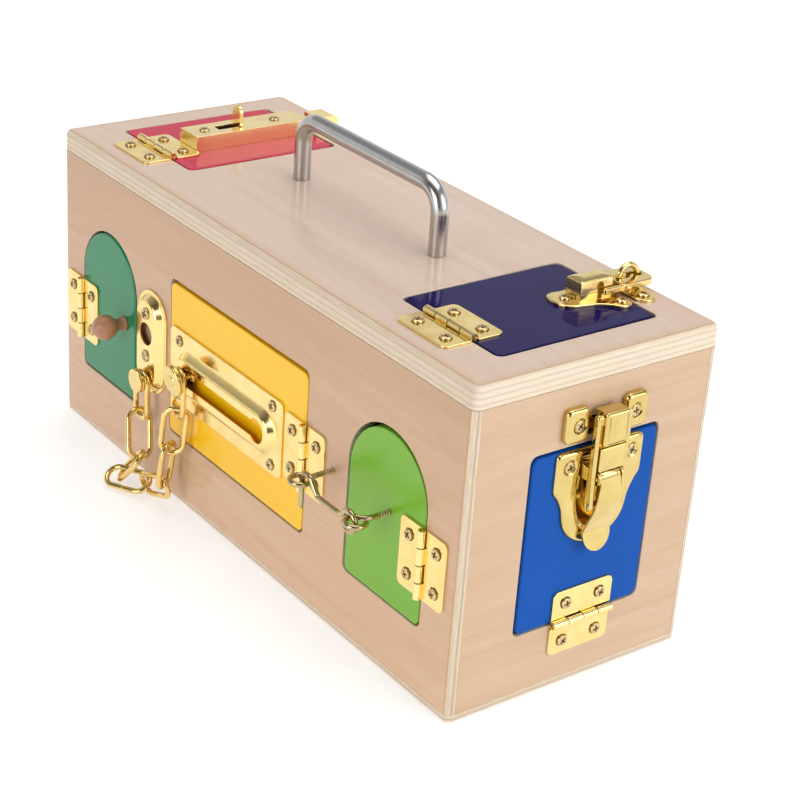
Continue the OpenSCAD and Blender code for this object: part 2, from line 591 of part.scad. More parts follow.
module latch_claw_pin() {
  color("goldenrod") on_end(latch_y, 0) translate([0, p2[0], p2[1]]) rotate([0, 90, 0]) {
    translate([0, 0, -11]) cylinder(r = 1.5, h = 22);
    for (s = [-1, 1]) translate([0, 0, s * 11.4 - 0.5]) cylinder(r = 2.5, h = 1);
  }
}
module latch_claw() {
  color("gold") on_end(latch_y, 0) difference() {
    union() {
      // the two side bars, joined by a sunken web, a step and a raised block
      for (s = [-1, 1]) translate([s * 9.5 - 1.3, 0, 0]) rotate([90, 0, 90]) linear_extrude(2.6) {
        translate(p2) circle(3.8);
        polygon([[p2[0], p2[1] - 3.8], [122, 5], [149, 5], [151.4, 5.9], [152.4, 7.4], [151.4, 8.6], [149, 9], [124, 9], [112, 9.2], [p2[0], p2[1] + 3.8]]);
      }
      translate([-9.5, 124, 6.2]) cube([19, 27, 1.2]);
      translate([-7.7, 122.6, 6.4]) cube([15.4, 13, 3]);
      translate([-7.1, 135, 7.2]) cube([14.2, 18.6, 3.8]);
      translate([-7.1, 152.2, 1.9]) cube([14.2, 1.4, 6.4]);
      translate([-5.6, 148.9, 1.9]) cube([11.2, 4.7, 1.1]);
    }
    translate([-20, p2[0], p2[1]]) rotate([0, 90, 0]) cylinder(r = 1.5 + e, h = 40);
  }
}

// ---- red door with slide bolt ----------------------------------------------
module red_door() {
  color("crimson") difference() {
    on_top(0, 0) slab(top_t) rrect(re[0] - re[1] / 2 + 1.4, re[2] + hinge_gap, re[0] + re[1] / 2 - 1.4, re[3] - free_gap, corner_r);
    for (s = re_screws) on_top(s[0], s[1]) pilot();
  }
}
module bolt_housing() {
  color("gold") on_top(bolt_x, 0) difference() {
    translate([-9.3, -27.4, 0]) cube([18.6, 75.4, 9]);
    translate([-8.1, -26.2, -1]) cube([16.2, 73, 8.8]);
    translate([-5.4, 40, 0.9]) cube([10.8, 20, 5.6]);
    translate([-3.1, -9, 5]) cube([6.2, 16, 8]);
    for (y = [-17, 30]) translate([0, y, 0]) screw_hole(9);
  }
}
module slide_bolt() {
  color("goldenrod") on_top(bolt_x, 0) difference() {
    union() {
      translate([-5, -3, 1.2]) cube([10, 65, 5]);
      translate([-2.7, 4, 5]) cube([5.4, 2.2, 6]);
      translate([0, 6.2, 9.3]) rotate([90, 0, 0]) linear_extrude(2.2) {
        translate([-4.4, 0]) square([8.8, 7]);
        translate([0, 7]) circle(4.4);
      }
    }
    // clearance for the housing screw over the bolt's travel
    translate([-2.2, 27.5, 0]) cube([4.4, 17.5, 8]);
  }
}
module bolt_keeper() {
  color("gold") on_top(bolt_x, 0) difference() {
    union() {
      translate([-15, 56, 0]) cube([30, 15, 1.2]);
      translate([-7, 56, 0]) cube([14, 15, 5]);
      translate([-7, 56, 4]) cube([14, 11, 3.8]);
      translate([-7, 67, 3.8]) rotate([0, 90, 0]) cylinder(r = 4, h = 14);
    }
    translate([-5.5, 50, 0.9]) cube([11, 16, 5.6]);
    translate([-8, 60, -5]) cube([16, 20, 5]);
    for (s = [-1, 1]) translate([s * 11.2, 63.5, 0]) screw_hole(1.2);
  }
}

// ---- purple door with hasp ------------------------------------------------
module purple_door() {
  color("indigo") difference() {
    on_top(0, 0) slab(top_t) rrect(pu[0] - pu[1] / 2 + 1.4, pu[2] + hinge_gap, pu[0] + pu[1] / 2 - 1.4, pu[3] - 1.5, corner_r);
    for (s = pu_screws) on_top(s[0], s[1]) pilot();
  }
}
// Pear-shaped outline of the hasp's base, a smooth blend of a narrow nose and a broad heel
function pear(t) = let (y = 32.5 - 17 * cos(t), w = 7.6 + 13.4 * pow((1 - cos(t)) / 2, 1.3)) [-3 * (1 + cos(t)) / 2 + w * sin(t) * (1.1 + 0.12 * cos(t)), y];
hasp_p = [42, 5.8];
module hasp_base() {
  color("gold") on_top(hasp_x, 0) difference() {
    union() {
      linear_extrude(1.5) polygon([for (i = [0 : 47]) pear(i * 7.5)]);
      linear_extrude(1.5) for (s = [-1, 1]) translate([s * 13.2, 45]) circle(5.2);
      translate([0, 46, 0]) rotate([90, 0, 0]) linear_extrude(20)
        polygon([[-6, 1], [6, 1], [5.7, 6], [4.6, 12.5], [-4.6, 12.5], [-5.7, 6]]);
    }
    translate([-20, hasp_p[0], hasp_p[1]]) rotate([0, 90, 0]) cylinder(r = 1.4 + e, h = 40);
    translate([-20, 34.6, 3]) cube([40, 2.4, 5.4]);
    translate([-20, 35.8, 8.4]) rotate([0, 90, 0]) cylinder(r = 1.8, h = 40);
    for (s = [2 : 4]) translate([pu_screws[s][0] - hasp_x, pu_screws[s][1], 0]) screw_hole(1.5);
  }
}
module hasp_plate() {
  z0 = 4.2;
  t = 3.2;
  color("gold") on_top(hasp_x, 0) difference() {
    union() {
      translate([0, 0, z0]) linear_extrude(t) {
        translate([-9.2, 50.4]) square([18.4, 18.6]);
        translate([-6.2, 50.4]) square([12.4, 21.6]);
        for (s = [-1, 1]) translate([s * 6.2, 69]) circle(3);
        for (s = [-1, 1]) translate([s * 8 - 1.2, 40]) square([2.4, 14]);
      }
      for (s = [-1, 1]) translate([s * 8, 0, 0]) rotate([90, 0, 90]) translate([40, z0 + t / 2, -1.2]) cylinder(r = t / 2, h = 2.4);
      for (s = [-1, 1]) translate([s * 6.1, hasp_p[0], hasp_p[1]]) rotate([0, 90, 0]) translate([0, 0, -2.2]) cylinder(r = 1.4, h = 4.4);
    }
    translate([0, 0, z0 - 1]) linear_extrude(t + 2) rrect(-2.7, 52.4, 2.7, 69.4, 2.2);
  }
}
module staple() {
  color("gold") on_top(hasp_x, 61) difference() {
    union() {
      linear_extrude(1.5) {
        translate([-12.5, -6.6]) square([25, 13.2]);
        for (s = [-1, 1]) translate([s * 12.5, 0]) circle(6.6);
      }
      for (s = [-1, 1]) translate([0, s * 6, 0.5]) cylinder(r = 1.5, h = 6.5);
      translate([0, 0, 7]) rotate([90, 0, 90]) rotate_extrude(angle = 180) translate([6, 0]) circle(1.5);
    }
    for (s = [-1, 1]) translate([s * 12.5, 0, 0]) screw_hole(1.5);
  }
}

// ---- drawing --------------------------------------------------------------
top_panel();
front_panel();
back_panel();
left_end_panel();
right_end_panel();
bottom_panel();
door_stops();
handle();
handle_screws();
case_screws();
hinge_pins();
dark_green_frame_leaf();
yellow_frame_leaf();
light_green_frame_leaf();
red_frame_leaf();
purple_frame_leaf();
blue_frame_leaf();
magnetic_catch();
chain_keeper_plate();
chain_anchor_stud();
frame_eye();
latch_keeper();
bolt_keeper();
staple();
dark_green_door();
dark_green_door_leaf();
dark_green_door_screws();
wooden_knob();
strike_plate();
yellow_door();
yellow_door_leaf();
yellow_door_screws();
track_plate();
light_green_door();
light_green_door_leaf();
light_green_door_screws();
door_eye();
hook();
blue_door();
blue_door_leaf();
blue_door_screws();
latch_base();
latch_lever_pin();
latch_lever();
latch_claw_pin();
latch_claw();
red_door();
red_door_leaf();
red_door_screws();
bolt_housing();
slide_bolt();
purple_door();
purple_door_leaf();
purple_door_screws();
hasp_base();
hasp_plate();
chain_links_fixed_side();
chain_links_bottom();
chain_links_slider_side();
chain_slider();
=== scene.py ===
"""Looks of the wooden lock box: bevelled plywood panels, gloss-painted doors and brass-plated fastenings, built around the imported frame."""
import json
import math
import bpy
import bmesh
from mathutils import Matrix, Vector, geometry


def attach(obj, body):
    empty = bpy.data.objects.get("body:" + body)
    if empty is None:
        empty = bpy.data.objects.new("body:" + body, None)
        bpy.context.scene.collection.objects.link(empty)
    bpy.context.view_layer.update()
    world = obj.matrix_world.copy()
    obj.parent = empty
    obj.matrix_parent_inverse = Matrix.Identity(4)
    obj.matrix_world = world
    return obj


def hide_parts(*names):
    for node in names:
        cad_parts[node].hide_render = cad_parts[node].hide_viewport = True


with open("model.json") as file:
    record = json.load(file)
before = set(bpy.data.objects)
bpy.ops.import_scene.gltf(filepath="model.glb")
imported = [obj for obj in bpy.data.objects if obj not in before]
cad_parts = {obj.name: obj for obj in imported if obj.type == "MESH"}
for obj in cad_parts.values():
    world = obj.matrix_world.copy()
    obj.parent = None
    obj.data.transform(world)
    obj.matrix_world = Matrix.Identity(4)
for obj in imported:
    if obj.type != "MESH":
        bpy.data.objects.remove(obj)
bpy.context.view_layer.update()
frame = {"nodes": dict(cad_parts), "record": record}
NODE = frame["nodes"]
BODY = {n: b for b, ns in frame["record"]["behaviour"]["bodies"].items() for n in ns}
SLOT = {s["node"]: s["material_slot"] for s in frame["record"]["subparts"]}
MM = 0.001
RAD = math.radians

# ---------------------------------------------------------------- camera
cam_data = bpy.data.cameras.new("camera")
cam_data.sensor_width = 36.0
cam_data.lens = 88.5
cam_data.clip_start = 0.02
cam_data.clip_end = 30.0
cam = bpy.data.objects.new("camera", cam_data)
bpy.context.scene.collection.objects.link(cam)
az, roll = RAD(52.043), RAD(4.186)
eye_at = Vector((0.78420, -0.57803, 0.55309))
fwd = (Vector((0.01857, 0.01922, 0.07430)) - eye_at).normalized()
right = Vector((math.cos(az), math.sin(az), 0.0))
down = fwd.cross(right)
rx = math.cos(roll) * right - math.sin(roll) * down
ry = -(math.sin(roll) * right + math.cos(roll) * down)
rz = -fwd
cam.matrix_world = Matrix(((rx.x, ry.x, rz.x, eye_at.x), (rx.y, ry.y, rz.y, eye_at.y), (rx.z, ry.z, rz.z, eye_at.z), (0, 0, 0, 1)))
bpy.context.scene.camera = cam

# ---------------------------------------------------------------- node helper
class Mat:
    """A material and short calls that add nodes to it."""
    def __init__(self, name, rough=0.4, metal=0.0, **sockets):
        self.m = bpy.data.materials.new(name)
        self.m.use_nodes = True
        self.t = self.m.node_tree
        self.bsdf = self.t.nodes["Principled BSDF"]
        self.bsdf.inputs["Roughness"].default_value = rough
        self.bsdf.inputs["Metallic"].default_value = metal
        for k, v in sockets.items():
            self.bsdf.inputs[k.replace("_", " ")].default_value = v
        self.tc = self.add("ShaderNodeTexCoord")
        self.P = self.scale(self.tc.outputs["Object"], (1000, 1000, 1000))
        self.N = self.tc.outputs["Normal"]
        self.geo = self.add("ShaderNodeNewGeometry")

    def add(self, kind, **props):
        n = self.t.nodes.new(kind)
        for k, v in props.items():
            setattr(n, k, v)
        return n

    def link(self, a, b):
        self.t.links.new(a, b)

    def put(self, sock, v):
        if isinstance(v, bpy.types.NodeSocket):
            self.link(v, sock)
        else:
            sock.default_value = v

    def scale(self, vec, s):
        n = self.add("ShaderNodeVectorMath", operation="MULTIPLY")
        self.put(n.inputs[0], vec)
        n.inputs[1].default_value = s
        return n.outputs[0]

    def vadd(self, vec, o):
        n = self.add("ShaderNodeVectorMath", operation="ADD")
        self.put(n.inputs[0], vec)
        self.put(n.inputs[1], o)
        return n.outputs[0]

    def math(self, op, a, b=0.0, clamp=False):
        n = self.add("ShaderNodeMath", operation=op, use_clamp=clamp)
        self.put(n.inputs[0], a)
        self.put(n.inputs[1], b)
        return n.outputs[0]

    def noise(self, vec, scale=1.0, detail=3.0, rough=0.5, dist=0.0):
        n = self.add("ShaderNodeTexNoise")
        self.put(n.inputs["Vector"], vec)
        n.inputs["Scale"].default_value = scale
        n.inputs["Detail"].default_value = detail
        n.inputs["Roughness"].default_value = rough
        n.inputs["Distortion"].default_value = dist
        return n.outputs["Fac"]

    def voronoi(self, vec, scale=1.0, out="Distance", feature="F1", rnd=1.0):
        n = self.add("ShaderNodeTexVoronoi", feature=feature)
        self.put(n.inputs["Vector"], vec)
        n.inputs["Scale"].default_value = scale
        n.inputs["Randomness"].default_value = rnd
        return n.outputs[out]

    def ramp(self, fac, stops, interp="LINEAR"):
        n = self.add("ShaderNodeValToRGB")
        n.color_ramp.interpolation = interp
        el = n.color_ramp.elements
        while len(el) < len(stops):
            el.new(0.5)
        for e, (p, c) in zip(el, stops):
            e.position = p
            e.color = (*c, 1.0) if not isinstance(c, (int, float)) else (c, c, c, 1.0)
        self.put(n.inputs["Fac"], fac)
        return n.outputs["Color"]

    def mix(self, fac, a, b, mode="MIX"):
        n = self.add("ShaderNodeMix", data_type="RGBA", blend_type=mode)
        self.put(n.inputs[0], fac)
        for s, v in ((n.inputs[6], a), (n.inputs[7], b)):
            self.put(s, (*v, 1.0) if isinstance(v, tuple) and len(v) == 3 else v)
        return n.outputs[2]

    def mixf(self, fac, a, b):
        n = self.add("ShaderNodeMix", data_type="FLOAT")
        self.put(n.inputs[0], fac)
        self.put(n.inputs[2], a)
        self.put(n.inputs[3], b)
        return n.outputs[0]

    def range(self, v, a, b, c=0.0, d=1.0, smooth=False):
        n = self.add("ShaderNodeMapRange", clamp=True)
        if smooth:
            n.interpolation_type = "SMOOTHSTEP"
        self.put(n.inputs["Value"], v)
        n.inputs["From Min"].default_value = a
        n.inputs["From Max"].default_value = b
        n.inputs["To Min"].default_value = c
        n.inputs["To Max"].default_value = d
        return n.outputs["Result"]

    def xyz(self, vec):
        n = self.add("ShaderNodeSeparateXYZ")
        self.put(n.inputs[0], vec)
        return n.outputs

    def bump(self, height, strength=0.2, dist=0.0002, normal=None):
        n = self.add("ShaderNodeBump")
        n.inputs["Strength"].default_value = strength
        n.inputs["Distance"].default_value = dist
        self.put(n.inputs["Height"], height)
        if normal is not None:
            self.link(normal, n.inputs["Normal"])
        return n.outputs["Normal"]

    def base(self, c):
        self.put(self.bsdf.inputs["Base Color"], c)

    def rough(self, v):
        self.put(self.bsdf.inputs["Roughness"], v)

    def normal(self, v):
        self.link(v, self.bsdf.inputs["Normal"])

    def edge(self, a=0.52, b=0.6):
        """1 along convex edges, 0 on flats."""
        return self.range(self.geo.outputs["Pointiness"], a, b)


def lin(r, g, b):
    """A colour given in 0-255 display values."""
    f = lambda c: c / 12.92 if c <= 0.04045 else ((c + 0.055) / 1.055) ** 2.4
    return tuple(f(c / 255.0) for c in (r, g, b))

# ---------------------------------------------------------------- materials
def plywood(name, thick, grain, t0, t1, tone, plies=7, seed=0.0, border=None, sheet=None):
    """Veneered plywood: face grain along one axis, and the plies on every cut edge across the thickness."""
    m = Mat(name, rough=0.4, Coat_Weight=0.6, Coat_Roughness=0.16, Coat_IOR=1.5, Specular_IOR_Level=0.1)
    ax = "xyz"
    s_fine, s_mid, s_wide = [1.0] * 3, [1.0] * 3, [1.0] * 3
    g = ax.index(grain)
    for i in range(3):
        s_fine[i] = 0.055 if i == g else 1.5
        s_mid[i] = 0.0075 if i == g else 0.15
        s_wide[i] = 0.0042 if i == g else 0.022
    p = m.vadd(m.P, (seed, seed * 0.7, seed * 1.3))
    # slow wander of the fibres so that lines are never straight
    w = m.noise(m.scale(p, tuple(0.6 * v for v in s_wide)), 1.0, 2.0)
    wander = m.scale(m.add_vec(w), tuple(0.0 if i == g else 26.0 for i in range(3)))
    pw = m.vadd(p, wander)
    fine = m.noise(m.scale(pw, tuple(s_fine)), 1.0, 3.0, 0.6)
    mid = m.noise(m.scale(pw, tuple(s_mid)), 1.0, 4.0, 0.55)
    wide = m.noise(m.scale(p, tuple(s_wide)), 1.0, 3.0, 0.5)
    # short dark flecks lying along the grain
    fl = m.voronoi(m.scale(pw, tuple(0.11 if i == g else 0.85 for i in range(3))), 1.0)
    fleck = m.range(fl, 0.05, 0.16, 1.0, 0.0)
    keep = m.range(m.noise(m.scale(p, tuple(0.02 if i == g else 0.06 for i in range(3))), 1.0, 2.0), 0.5, 0.62)
    fleck = m.math("MULTIPLY", fleck, keep)
    light, mean, dark = tone
    c = m.ramp(mid, [(0.24, dark), (0.5, mean), (0.76, light)])
    c = m.mix(m.range(wide, 0.36, 0.66), c, m.mix(0.62, c, mean, "MIX"))
    c = m.mix(m.range(wide, 0.5, 0.72, 0.0, 0.35), c, tuple(v * k for v, k in zip(mean, (1.0, 0.87, 0.78))))
    c = m.mix(m.range(fine, 0.35, 0.75, 0.0, 0.17), c, tuple(v * 0.76 for v in dark))
    c = m.mix(m.math("MULTIPLY", fleck, 0.3), c, tuple(v * 0.62 for v in dark))
    if sheet:
        # painted shade: the face is darkened towards the top, standing in for floor bounce light on its lower part
        zz = m.math("ADD", m.xyz(m.P)[2], m.math("MULTIPLY", m.math("SUBTRACT", wide, 0.5), 70.0))
        c = m.mix(m.range(zz, 0.0, 179.0), c, sheet, "MULTIPLY")
    # plies on the cut edges
    k = ax.index(thick)
    q = m.xyz(m.P)[k]
    jitter = m.math("MULTIPLY", m.math("SUBTRACT", m.noise(m.scale(m.P, (0.05, 0.05, 0.05)), 1.0, 3.0), 0.5), 0.7)
    t = m.range(m.math("ADD", q, jitter), t0, t1)
    u = m.math("MULTIPLY", t, (plies - 1) / 2 + 0.7)
    fr = m.math("FRACT", u)
    cross = m.range(fr, 0.67, 0.73)
    glue = m.range(m.math("ABSOLUTE", m.math("SUBTRACT", fr, 0.70)), 0.012, 0.045, 1.0, 0.0)
    streak = m.noise(m.scale(m.P, tuple(2.4 if i == k else 0.10 for i in range(3))), 1.0, 4.0, 0.65)
    pores = m.noise(m.scale(m.P, (1.7, 1.7, 1.7)), 1.0, 2.0, 0.7)
    long_ply = m.ramp(streak, [(0.3, lin(204, 183, 155)), (0.5, lin(219, 201, 176)), (0.7, lin(230, 214, 191))])
    end_ply = m.ramp(pores, [(0.3, lin(182, 158, 130)), (0.55, lin(200, 179, 152)), (0.75, lin(210, 191, 165))])
    pc = m.mix(cross, long_ply, end_ply)
    pc = m.mix(m.math("MULTIPLY", m.math("MULTIPLY", glue, m.range(m.noise(m.scale(m.P, (0.03, 0.03, 0.03)), 1.0, 2.0), 0.4, 0.62)), 0.42), pc, lin(150, 116, 84))
    if border:
        # lacquer gathers along the rounded border; painted highlight: the plies on the end edges, facing along x, are
        # made paler than those on the long edges
        bx, by = (m.math("ABSOLUTE", v) for v in m.xyz(m.P)[:2])
        near = m.math("MAXIMUM", m.range(bx, border[0] - 8.0, border[0] - 1.0), m.range(by, border[1] - 8.0, border[1] - 1.0))
        c = m.mix(m.math("MULTIPLY", near, 0.9), c, (0.94, 0.86, 0.73), "MULTIPLY")
        painted_end_highlight = m.range(m.math("ABSOLUTE", m.xyz(m.N)[0]), 0.3, 0.8)
        pc = m.mix(painted_end_highlight, m.mix(0.35, pc, lin(210, 190, 165)), m.mix(0.35, pc, lin(252, 238, 214)))
    nk = m.math("ABSOLUTE", m.xyz(m.N)[k])
    on_face = m.range(nk, 0.90, 0.965, smooth=True)
    col = m.mix(on_face, pc, c)
    rim = m.math("MULTIPLY", m.range(nk, 0.90, 0.95), m.range(nk, 0.972, 0.99, 1.0, 0.0))
    col = m.mix(m.math("MULTIPLY", rim, 0.6), col, lin(190, 143, 98))
    m.base(col)
    m.rough(m.mixf(on_face, m.range(streak, 0.3, 0.7, 0.42, 0.62), m.range(fine, 0.3, 0.7, 0.3, 0.46)))
    h = m.mixf(on_face, m.math("ADD", m.math("MULTIPLY", streak, 0.8), m.math("MULTIPLY", glue, -0.6)), m.math("ADD", m.math("MULTIPLY", fine, 0.5), m.math("MULTIPLY", fleck, -0.5)))
    m.normal(m.bump(h, 0.16, 0.00012))
    return m.m


def _add_vec(self, fac):
    n = self.add("ShaderNodeCombineXYZ")
    s = self.math("SUBTRACT", fac, 0.5)
    for i in range(3):
        self.link(s, n.inputs[i])
    return n.outputs[0]


Mat.add_vec = _add_vec


def paint(name, col, grain="z", deep=None, coat=0.05, rough=0.3, gloss=1.0):
    """Sprayed gloss paint over plywood: faint raised grain, orange peel, a clear gloss over it."""
    m = Mat(name, rough=rough, Coat_Weight=gloss, Coat_Roughness=coat, Coat_IOR=1.5, Specular_IOR_Level=0.0)
    g = "xyz".index(grain)
    fib = m.noise(m.scale(m.P, tuple(0.022 if i == g else 0.75 for i in range(3))), 1.0, 4.0, 0.6)
    peel = m.noise(m.P, 0.55, 2.0, 0.5)
    cloud = m.noise(m.P, 0.02, 3.0, 0.5)
    deep = deep or tuple(v * 0.8 for v in col)
    c = m.mix(m.range(cloud, 0.3, 0.7, 0.0, 0.35), col, deep)
    c = m.mix(m.range(fib, 0.4, 0.75, 0.0, 0.18), c, deep)
    m.base(c)
    m.rough(m.range(m.noise(m.P, 0.05, 3.0), 0.3, 0.7, rough - 0.06, rough + 0.08))
    h = m.math("ADD", m.math("MULTIPLY", fib, 0.5), m.math("MULTIPLY", peel, 0.5))
    nb = m.bump(h, 0.06, 0.00010)
    m.normal(nb)
    m.link(m.bump(m.math("ADD", m.math("MULTIPLY", peel, 0.7), m.math("MULTIPLY", fib, 0.3)), 0.03, 0.00010), m.bsdf.inputs["Coat Normal"])
    return m.m


def plated(name, bright, deep, r0=0.10, r1=0.24, brushed=None, pits=1.0):
    """Bright plated metal: cloudy polish, fine scratches, pits and a darker film away from the worn edges, with painted
    shade in concave creases.
    """
    m = Mat(name, rough=r0, metal=1.0)
    cloud = m.noise(m.P, 0.09, 4.0, 0.6)
    fine = m.noise(m.P, 1.1, 3.0, 0.6)
    s1 = m.noise(m.scale(m.P, (0.12, 2.6, 2.6)), 1.0, 2.0, 0.5)
    s2 = m.noise(m.scale(m.P, (2.6, 2.6, 0.12)), 1.0, 2.0, 0.5)
    scr = m.math("MAXIMUM", m.range(s1, 0.66, 0.76), m.range(s2, 0.67, 0.78))
    pit = m.range(m.voronoi(m.P, 0.36), 0.045, 0.085, 1.0, 0.0)
    pit = m.math("MULTIPLY", pit, m.range(m.noise(m.P, 0.06, 2.0), 0.48, 0.58))
    film = m.range(cloud, 0.34, 0.7)
    c = m.mix(m.math("MULTIPLY", film, 0.55), bright, deep)
    c = m.mix(m.math("MULTIPLY", m.edge(0.52, 0.6), 0.5), c, tuple(min(1.0, v * 1.06 + 0.02) for v in bright))
    # painted shade: concave creases and inner corners are darkened towards a dark brass
    c = m.mix(m.range(m.geo.outputs["Pointiness"], 0.40, 0.48, 0.45, 0.0), c, tuple(v * 0.45 for v in deep))
    c = m.mix(m.math("MULTIPLY", pit, 0.55 * pits), c, tuple(v * 0.3 for v in deep))
    m.base(c)
    r = m.range(cloud, 0.3, 0.72, r0, r1)
    r = m.math("ADD", r, m.math("MULTIPLY", scr, 0.07))
    m.rough(m.math("ADD", r, m.math("MULTIPLY", pit, 0.2)))
    h = m.math("ADD", m.math("MULTIPLY", fine, 0.35), m.math("MULTIPLY", scr, -0.12))
    h = m.math("ADD", h, m.math("MULTIPLY", pit, -0.8 * pits))
    if brushed:
        b = m.noise(m.scale(m.P, brushed), 1.0, 3.0, 0.6)
        h = m.math("ADD", h, m.math("MULTIPLY", b, 0.8))
    m.normal(m.bump(h, 0.07, 0.00010))
    return m.m


def turned_wood(name):
    m = Mat(name, rough=0.42, Coat_Weight=0.3, Coat_Roughness=0.22)
    p = m.scale(m.vadd(m.P, (121.5, 0.0, -84.5)), (1, 1, 1))
    w = m.noise(m.scale(p, (0.09, 0.02, 0.09)), 1.0, 3.0)
    rings = m.math("FRACT", m.math("ADD", m.math("MULTIPLY", m.xyz(p)[0], 0.38), m.math("MULTIPLY", w, 2.4)))
    fib = m.noise(m.scale(p, (1.8, 0.12, 1.8)), 1.0, 3.0, 0.6)
    c = m.ramp(rings, [(0.0, lin(172, 119, 85)), (0.45, lin(186, 133, 98)), (0.85, lin(178, 125, 91)), (1.0, lin(161, 108, 76))])
    c = m.mix(m.range(fib, 0.4, 0.7, 0.0, 0.4), c, lin(158, 106, 74))
    m.base(c)
    m.rough(m.range(fib, 0.3, 0.7, 0.36, 0.52))
    m.normal(m.bump(m.math("ADD", fib, m.math("MULTIPLY", rings, 0.2)), 0.15, 0.00012))
    return m.m


def moulded(name, col):
    m = Mat(name, rough=0.5)
    g = m.noise(m.P, 1.4, 3.0, 0.6)
    m.base(m.mix(m.range(g, 0.3, 0.7), col, tuple(v * 1.5 + 0.01 for v in col)))
    m.rough(m.range(g, 0.3, 0.7, 0.42, 0.6))
    m.normal(m.bump(g, 0.25, 0.00012))
    return m.m


def tint(tone, k):
    return tuple(tuple(v * f for v, f in zip(c, k)) for c in tone)


BIRCH = (lin(233, 199, 167), lin(226, 189, 155), lin(216, 176, 141))
FACE = tint(BIRCH, (0.81, 0.78, 0.76))
# painted light and shade: the front, end and top tones below are the same birch, each tinted to how brightly its face
# is lit
FRONT_FACE_AS_LIT = tint(BIRCH, (0.917, 0.88, 0.86))
END_FACE_AS_LIT = tint(BIRCH, (0.855, 0.875, 0.88))
TOP_FACE_AS_LIT = tint((lin(236, 211, 193), lin(231, 203, 183), lin(222, 192, 170)), (0.845, 0.84, 0.826))
WOOD = {
    "top_panel": plywood("ply_top", "z", "x", 167.0, 179.0, TOP_FACE_AS_LIT, 7, 0.0, (193.5, 75.0)),
    "bottom_panel": plywood("ply_bottom", "z", "x", 0.0, 4.0, FACE, 3, 31.0),
    # the front panel gets painted shade that darkens it towards the top
    "front_panel": plywood("ply_front", "y", "x", -75.0, -66.0, FRONT_FACE_AS_LIT, 5, 57.0, sheet=(0.80, 0.79, 0.78)),
    "back_panel": plywood("ply_back", "y", "x", 66.0, 75.0, FACE, 5, 83.0),
    "left_end_panel": plywood("ply_left", "x", "y", -193.5, -184.5, END_FACE_AS_LIT, 5, 109.0),
    "right_end_panel": plywood("ply_right", "x", "y", 184.5, 193.5, END_FACE_AS_LIT, 5, 141.0),
    "door_stops": plywood("ply_stops", "y", "z", -500.0, 500.0, FACE, 1, 17.0),
}
PAINT = {
    "dark_green_door": paint("paint_dark_green", lin(22, 130, 79), "z", lin(15, 115, 68), 0.11),
    "yellow_door": paint("paint_yellow", lin(251, 197, 8), "x", lin(247, 185, 2), 0.22),
    "light_green_door": paint("paint_light_green", lin(117, 175, 37), "z", lin(106, 164, 25), 0.26),
    "blue_door": paint("paint_blue", lin(16, 84, 174), "z", lin(8, 74, 160), 0.26, gloss=0.25),
    "red_door": paint("paint_red", lin(204, 66, 90), "y", lin(190, 54, 78), 0.035, gloss=0.34),
    "purple_door": paint("paint_purple", lin(30, 20, 82), "y", lin(24, 14, 70), 0.05, gloss=0.4),
}
GOLD = plated("brass_plate", (0.94, 0.74, 0.32), (0.84, 0.58, 0.17))
GOLD2 = plated("brass_cast", (0.72, 0.56, 0.22), (0.58, 0.39, 0.10), 0.07, 0.15)
GOLD3 = plated("brass_hasp", (0.86, 0.67, 0.30), (0.64, 0.44, 0.13), 0.09, 0.2)
GOLD4 = plated("brass_bolt", (0.92, 0.74, 0.37), (0.82, 0.60, 0.23), 0.18, 0.27, pits=0.1)
GOLD5 = plated("brass_chain", (0.87, 0.66, 0.27), (0.70, 0.47, 0.14), 0.10, 0.2)
SCREW = plated("screw_brass", (0.66, 0.52, 0.29), (0.44, 0.31, 0.14), 0.2, 0.34, pits=0.4)
WIRE = plated("wire_brass", (0.54, 0.43, 0.25), (0.37, 0.27, 0.12), 0.10, 0.22, pits=0.6)
STEEL = plated("satin_steel", (0.55, 0.54, 0.53), (0.43, 0.41, 0.40), 0.18, 0.28, brushed=(0.15, 6.0, 6.0), pits=0.2)
PLAIN = plated("plain_steel", (0.60, 0.60, 0.60), (0.45, 0.44, 0.42), 0.25, 0.4)
KNOB = turned_wood("turned_wood")
BLACK = moulded("black_plastic", (0.02, 0.02, 0.022))
BY_SLOT = {"brass_plate": GOLD, "screw_brass": SCREW, "wire_brass": WIRE, "satin_steel": STEEL, "steel": PLAIN, "turned_wood": KNOB, "black_plastic": BLACK}


def material(node):
    return WOOD.get(node) or PAINT.get(node) or BY_SLOT[SLOT[node]]

# ---------------------------------------------------------------- mesh helper
def on_front(x, z):
    return Matrix(((1, 0, 0, x), (0, 0, -1, -75), (0, 1, 0, z), (0, 0, 0, 1)))


def on_top(x, y):
    return Matrix.Translation((x, y, 179))


def on_end(y, z):
    return Matrix(((0, 0, 1, 193.5), (1, 0, 0, y), (0, 1, 0, z), (0, 0, 0, 1)))


def rot(axis, deg):
    return Matrix.Rotation(RAD(deg), 4, axis)


def move(x, y, z):
    return Matrix.Translation((x, y, z))


MIRROR_X = Matrix.Diagonal((-1, 1, 1, 1))


def arc(cx, cy, r, a0, a1, n):
    return [(cx + r * math.cos(RAD(a0 + (a1 - a0) * i / n)), cy + r * math.sin(RAD(a0 + (a1 - a0) * i / n))) for i in range(n + 1)]


def rrect(x0, y0, x1, y1, r, n=8):
    rs = r if isinstance(r, (tuple, list)) else (r,) * 4   # lower left, lower right, upper right, upper left
    out = []
    for (cx, cy, sx, sy, a), q in zip(((x0, y0, 1, 1, 180), (x1, y0, -1, 1, 270), (x1, y1, -1, -1, 0), (x0, y1, 1, -1, 90)), rs):
        out += arc(cx + sx * q, cy + sy * q, q, a, a + 90, n) if q > 0 else [(cx, cy)]
    return out


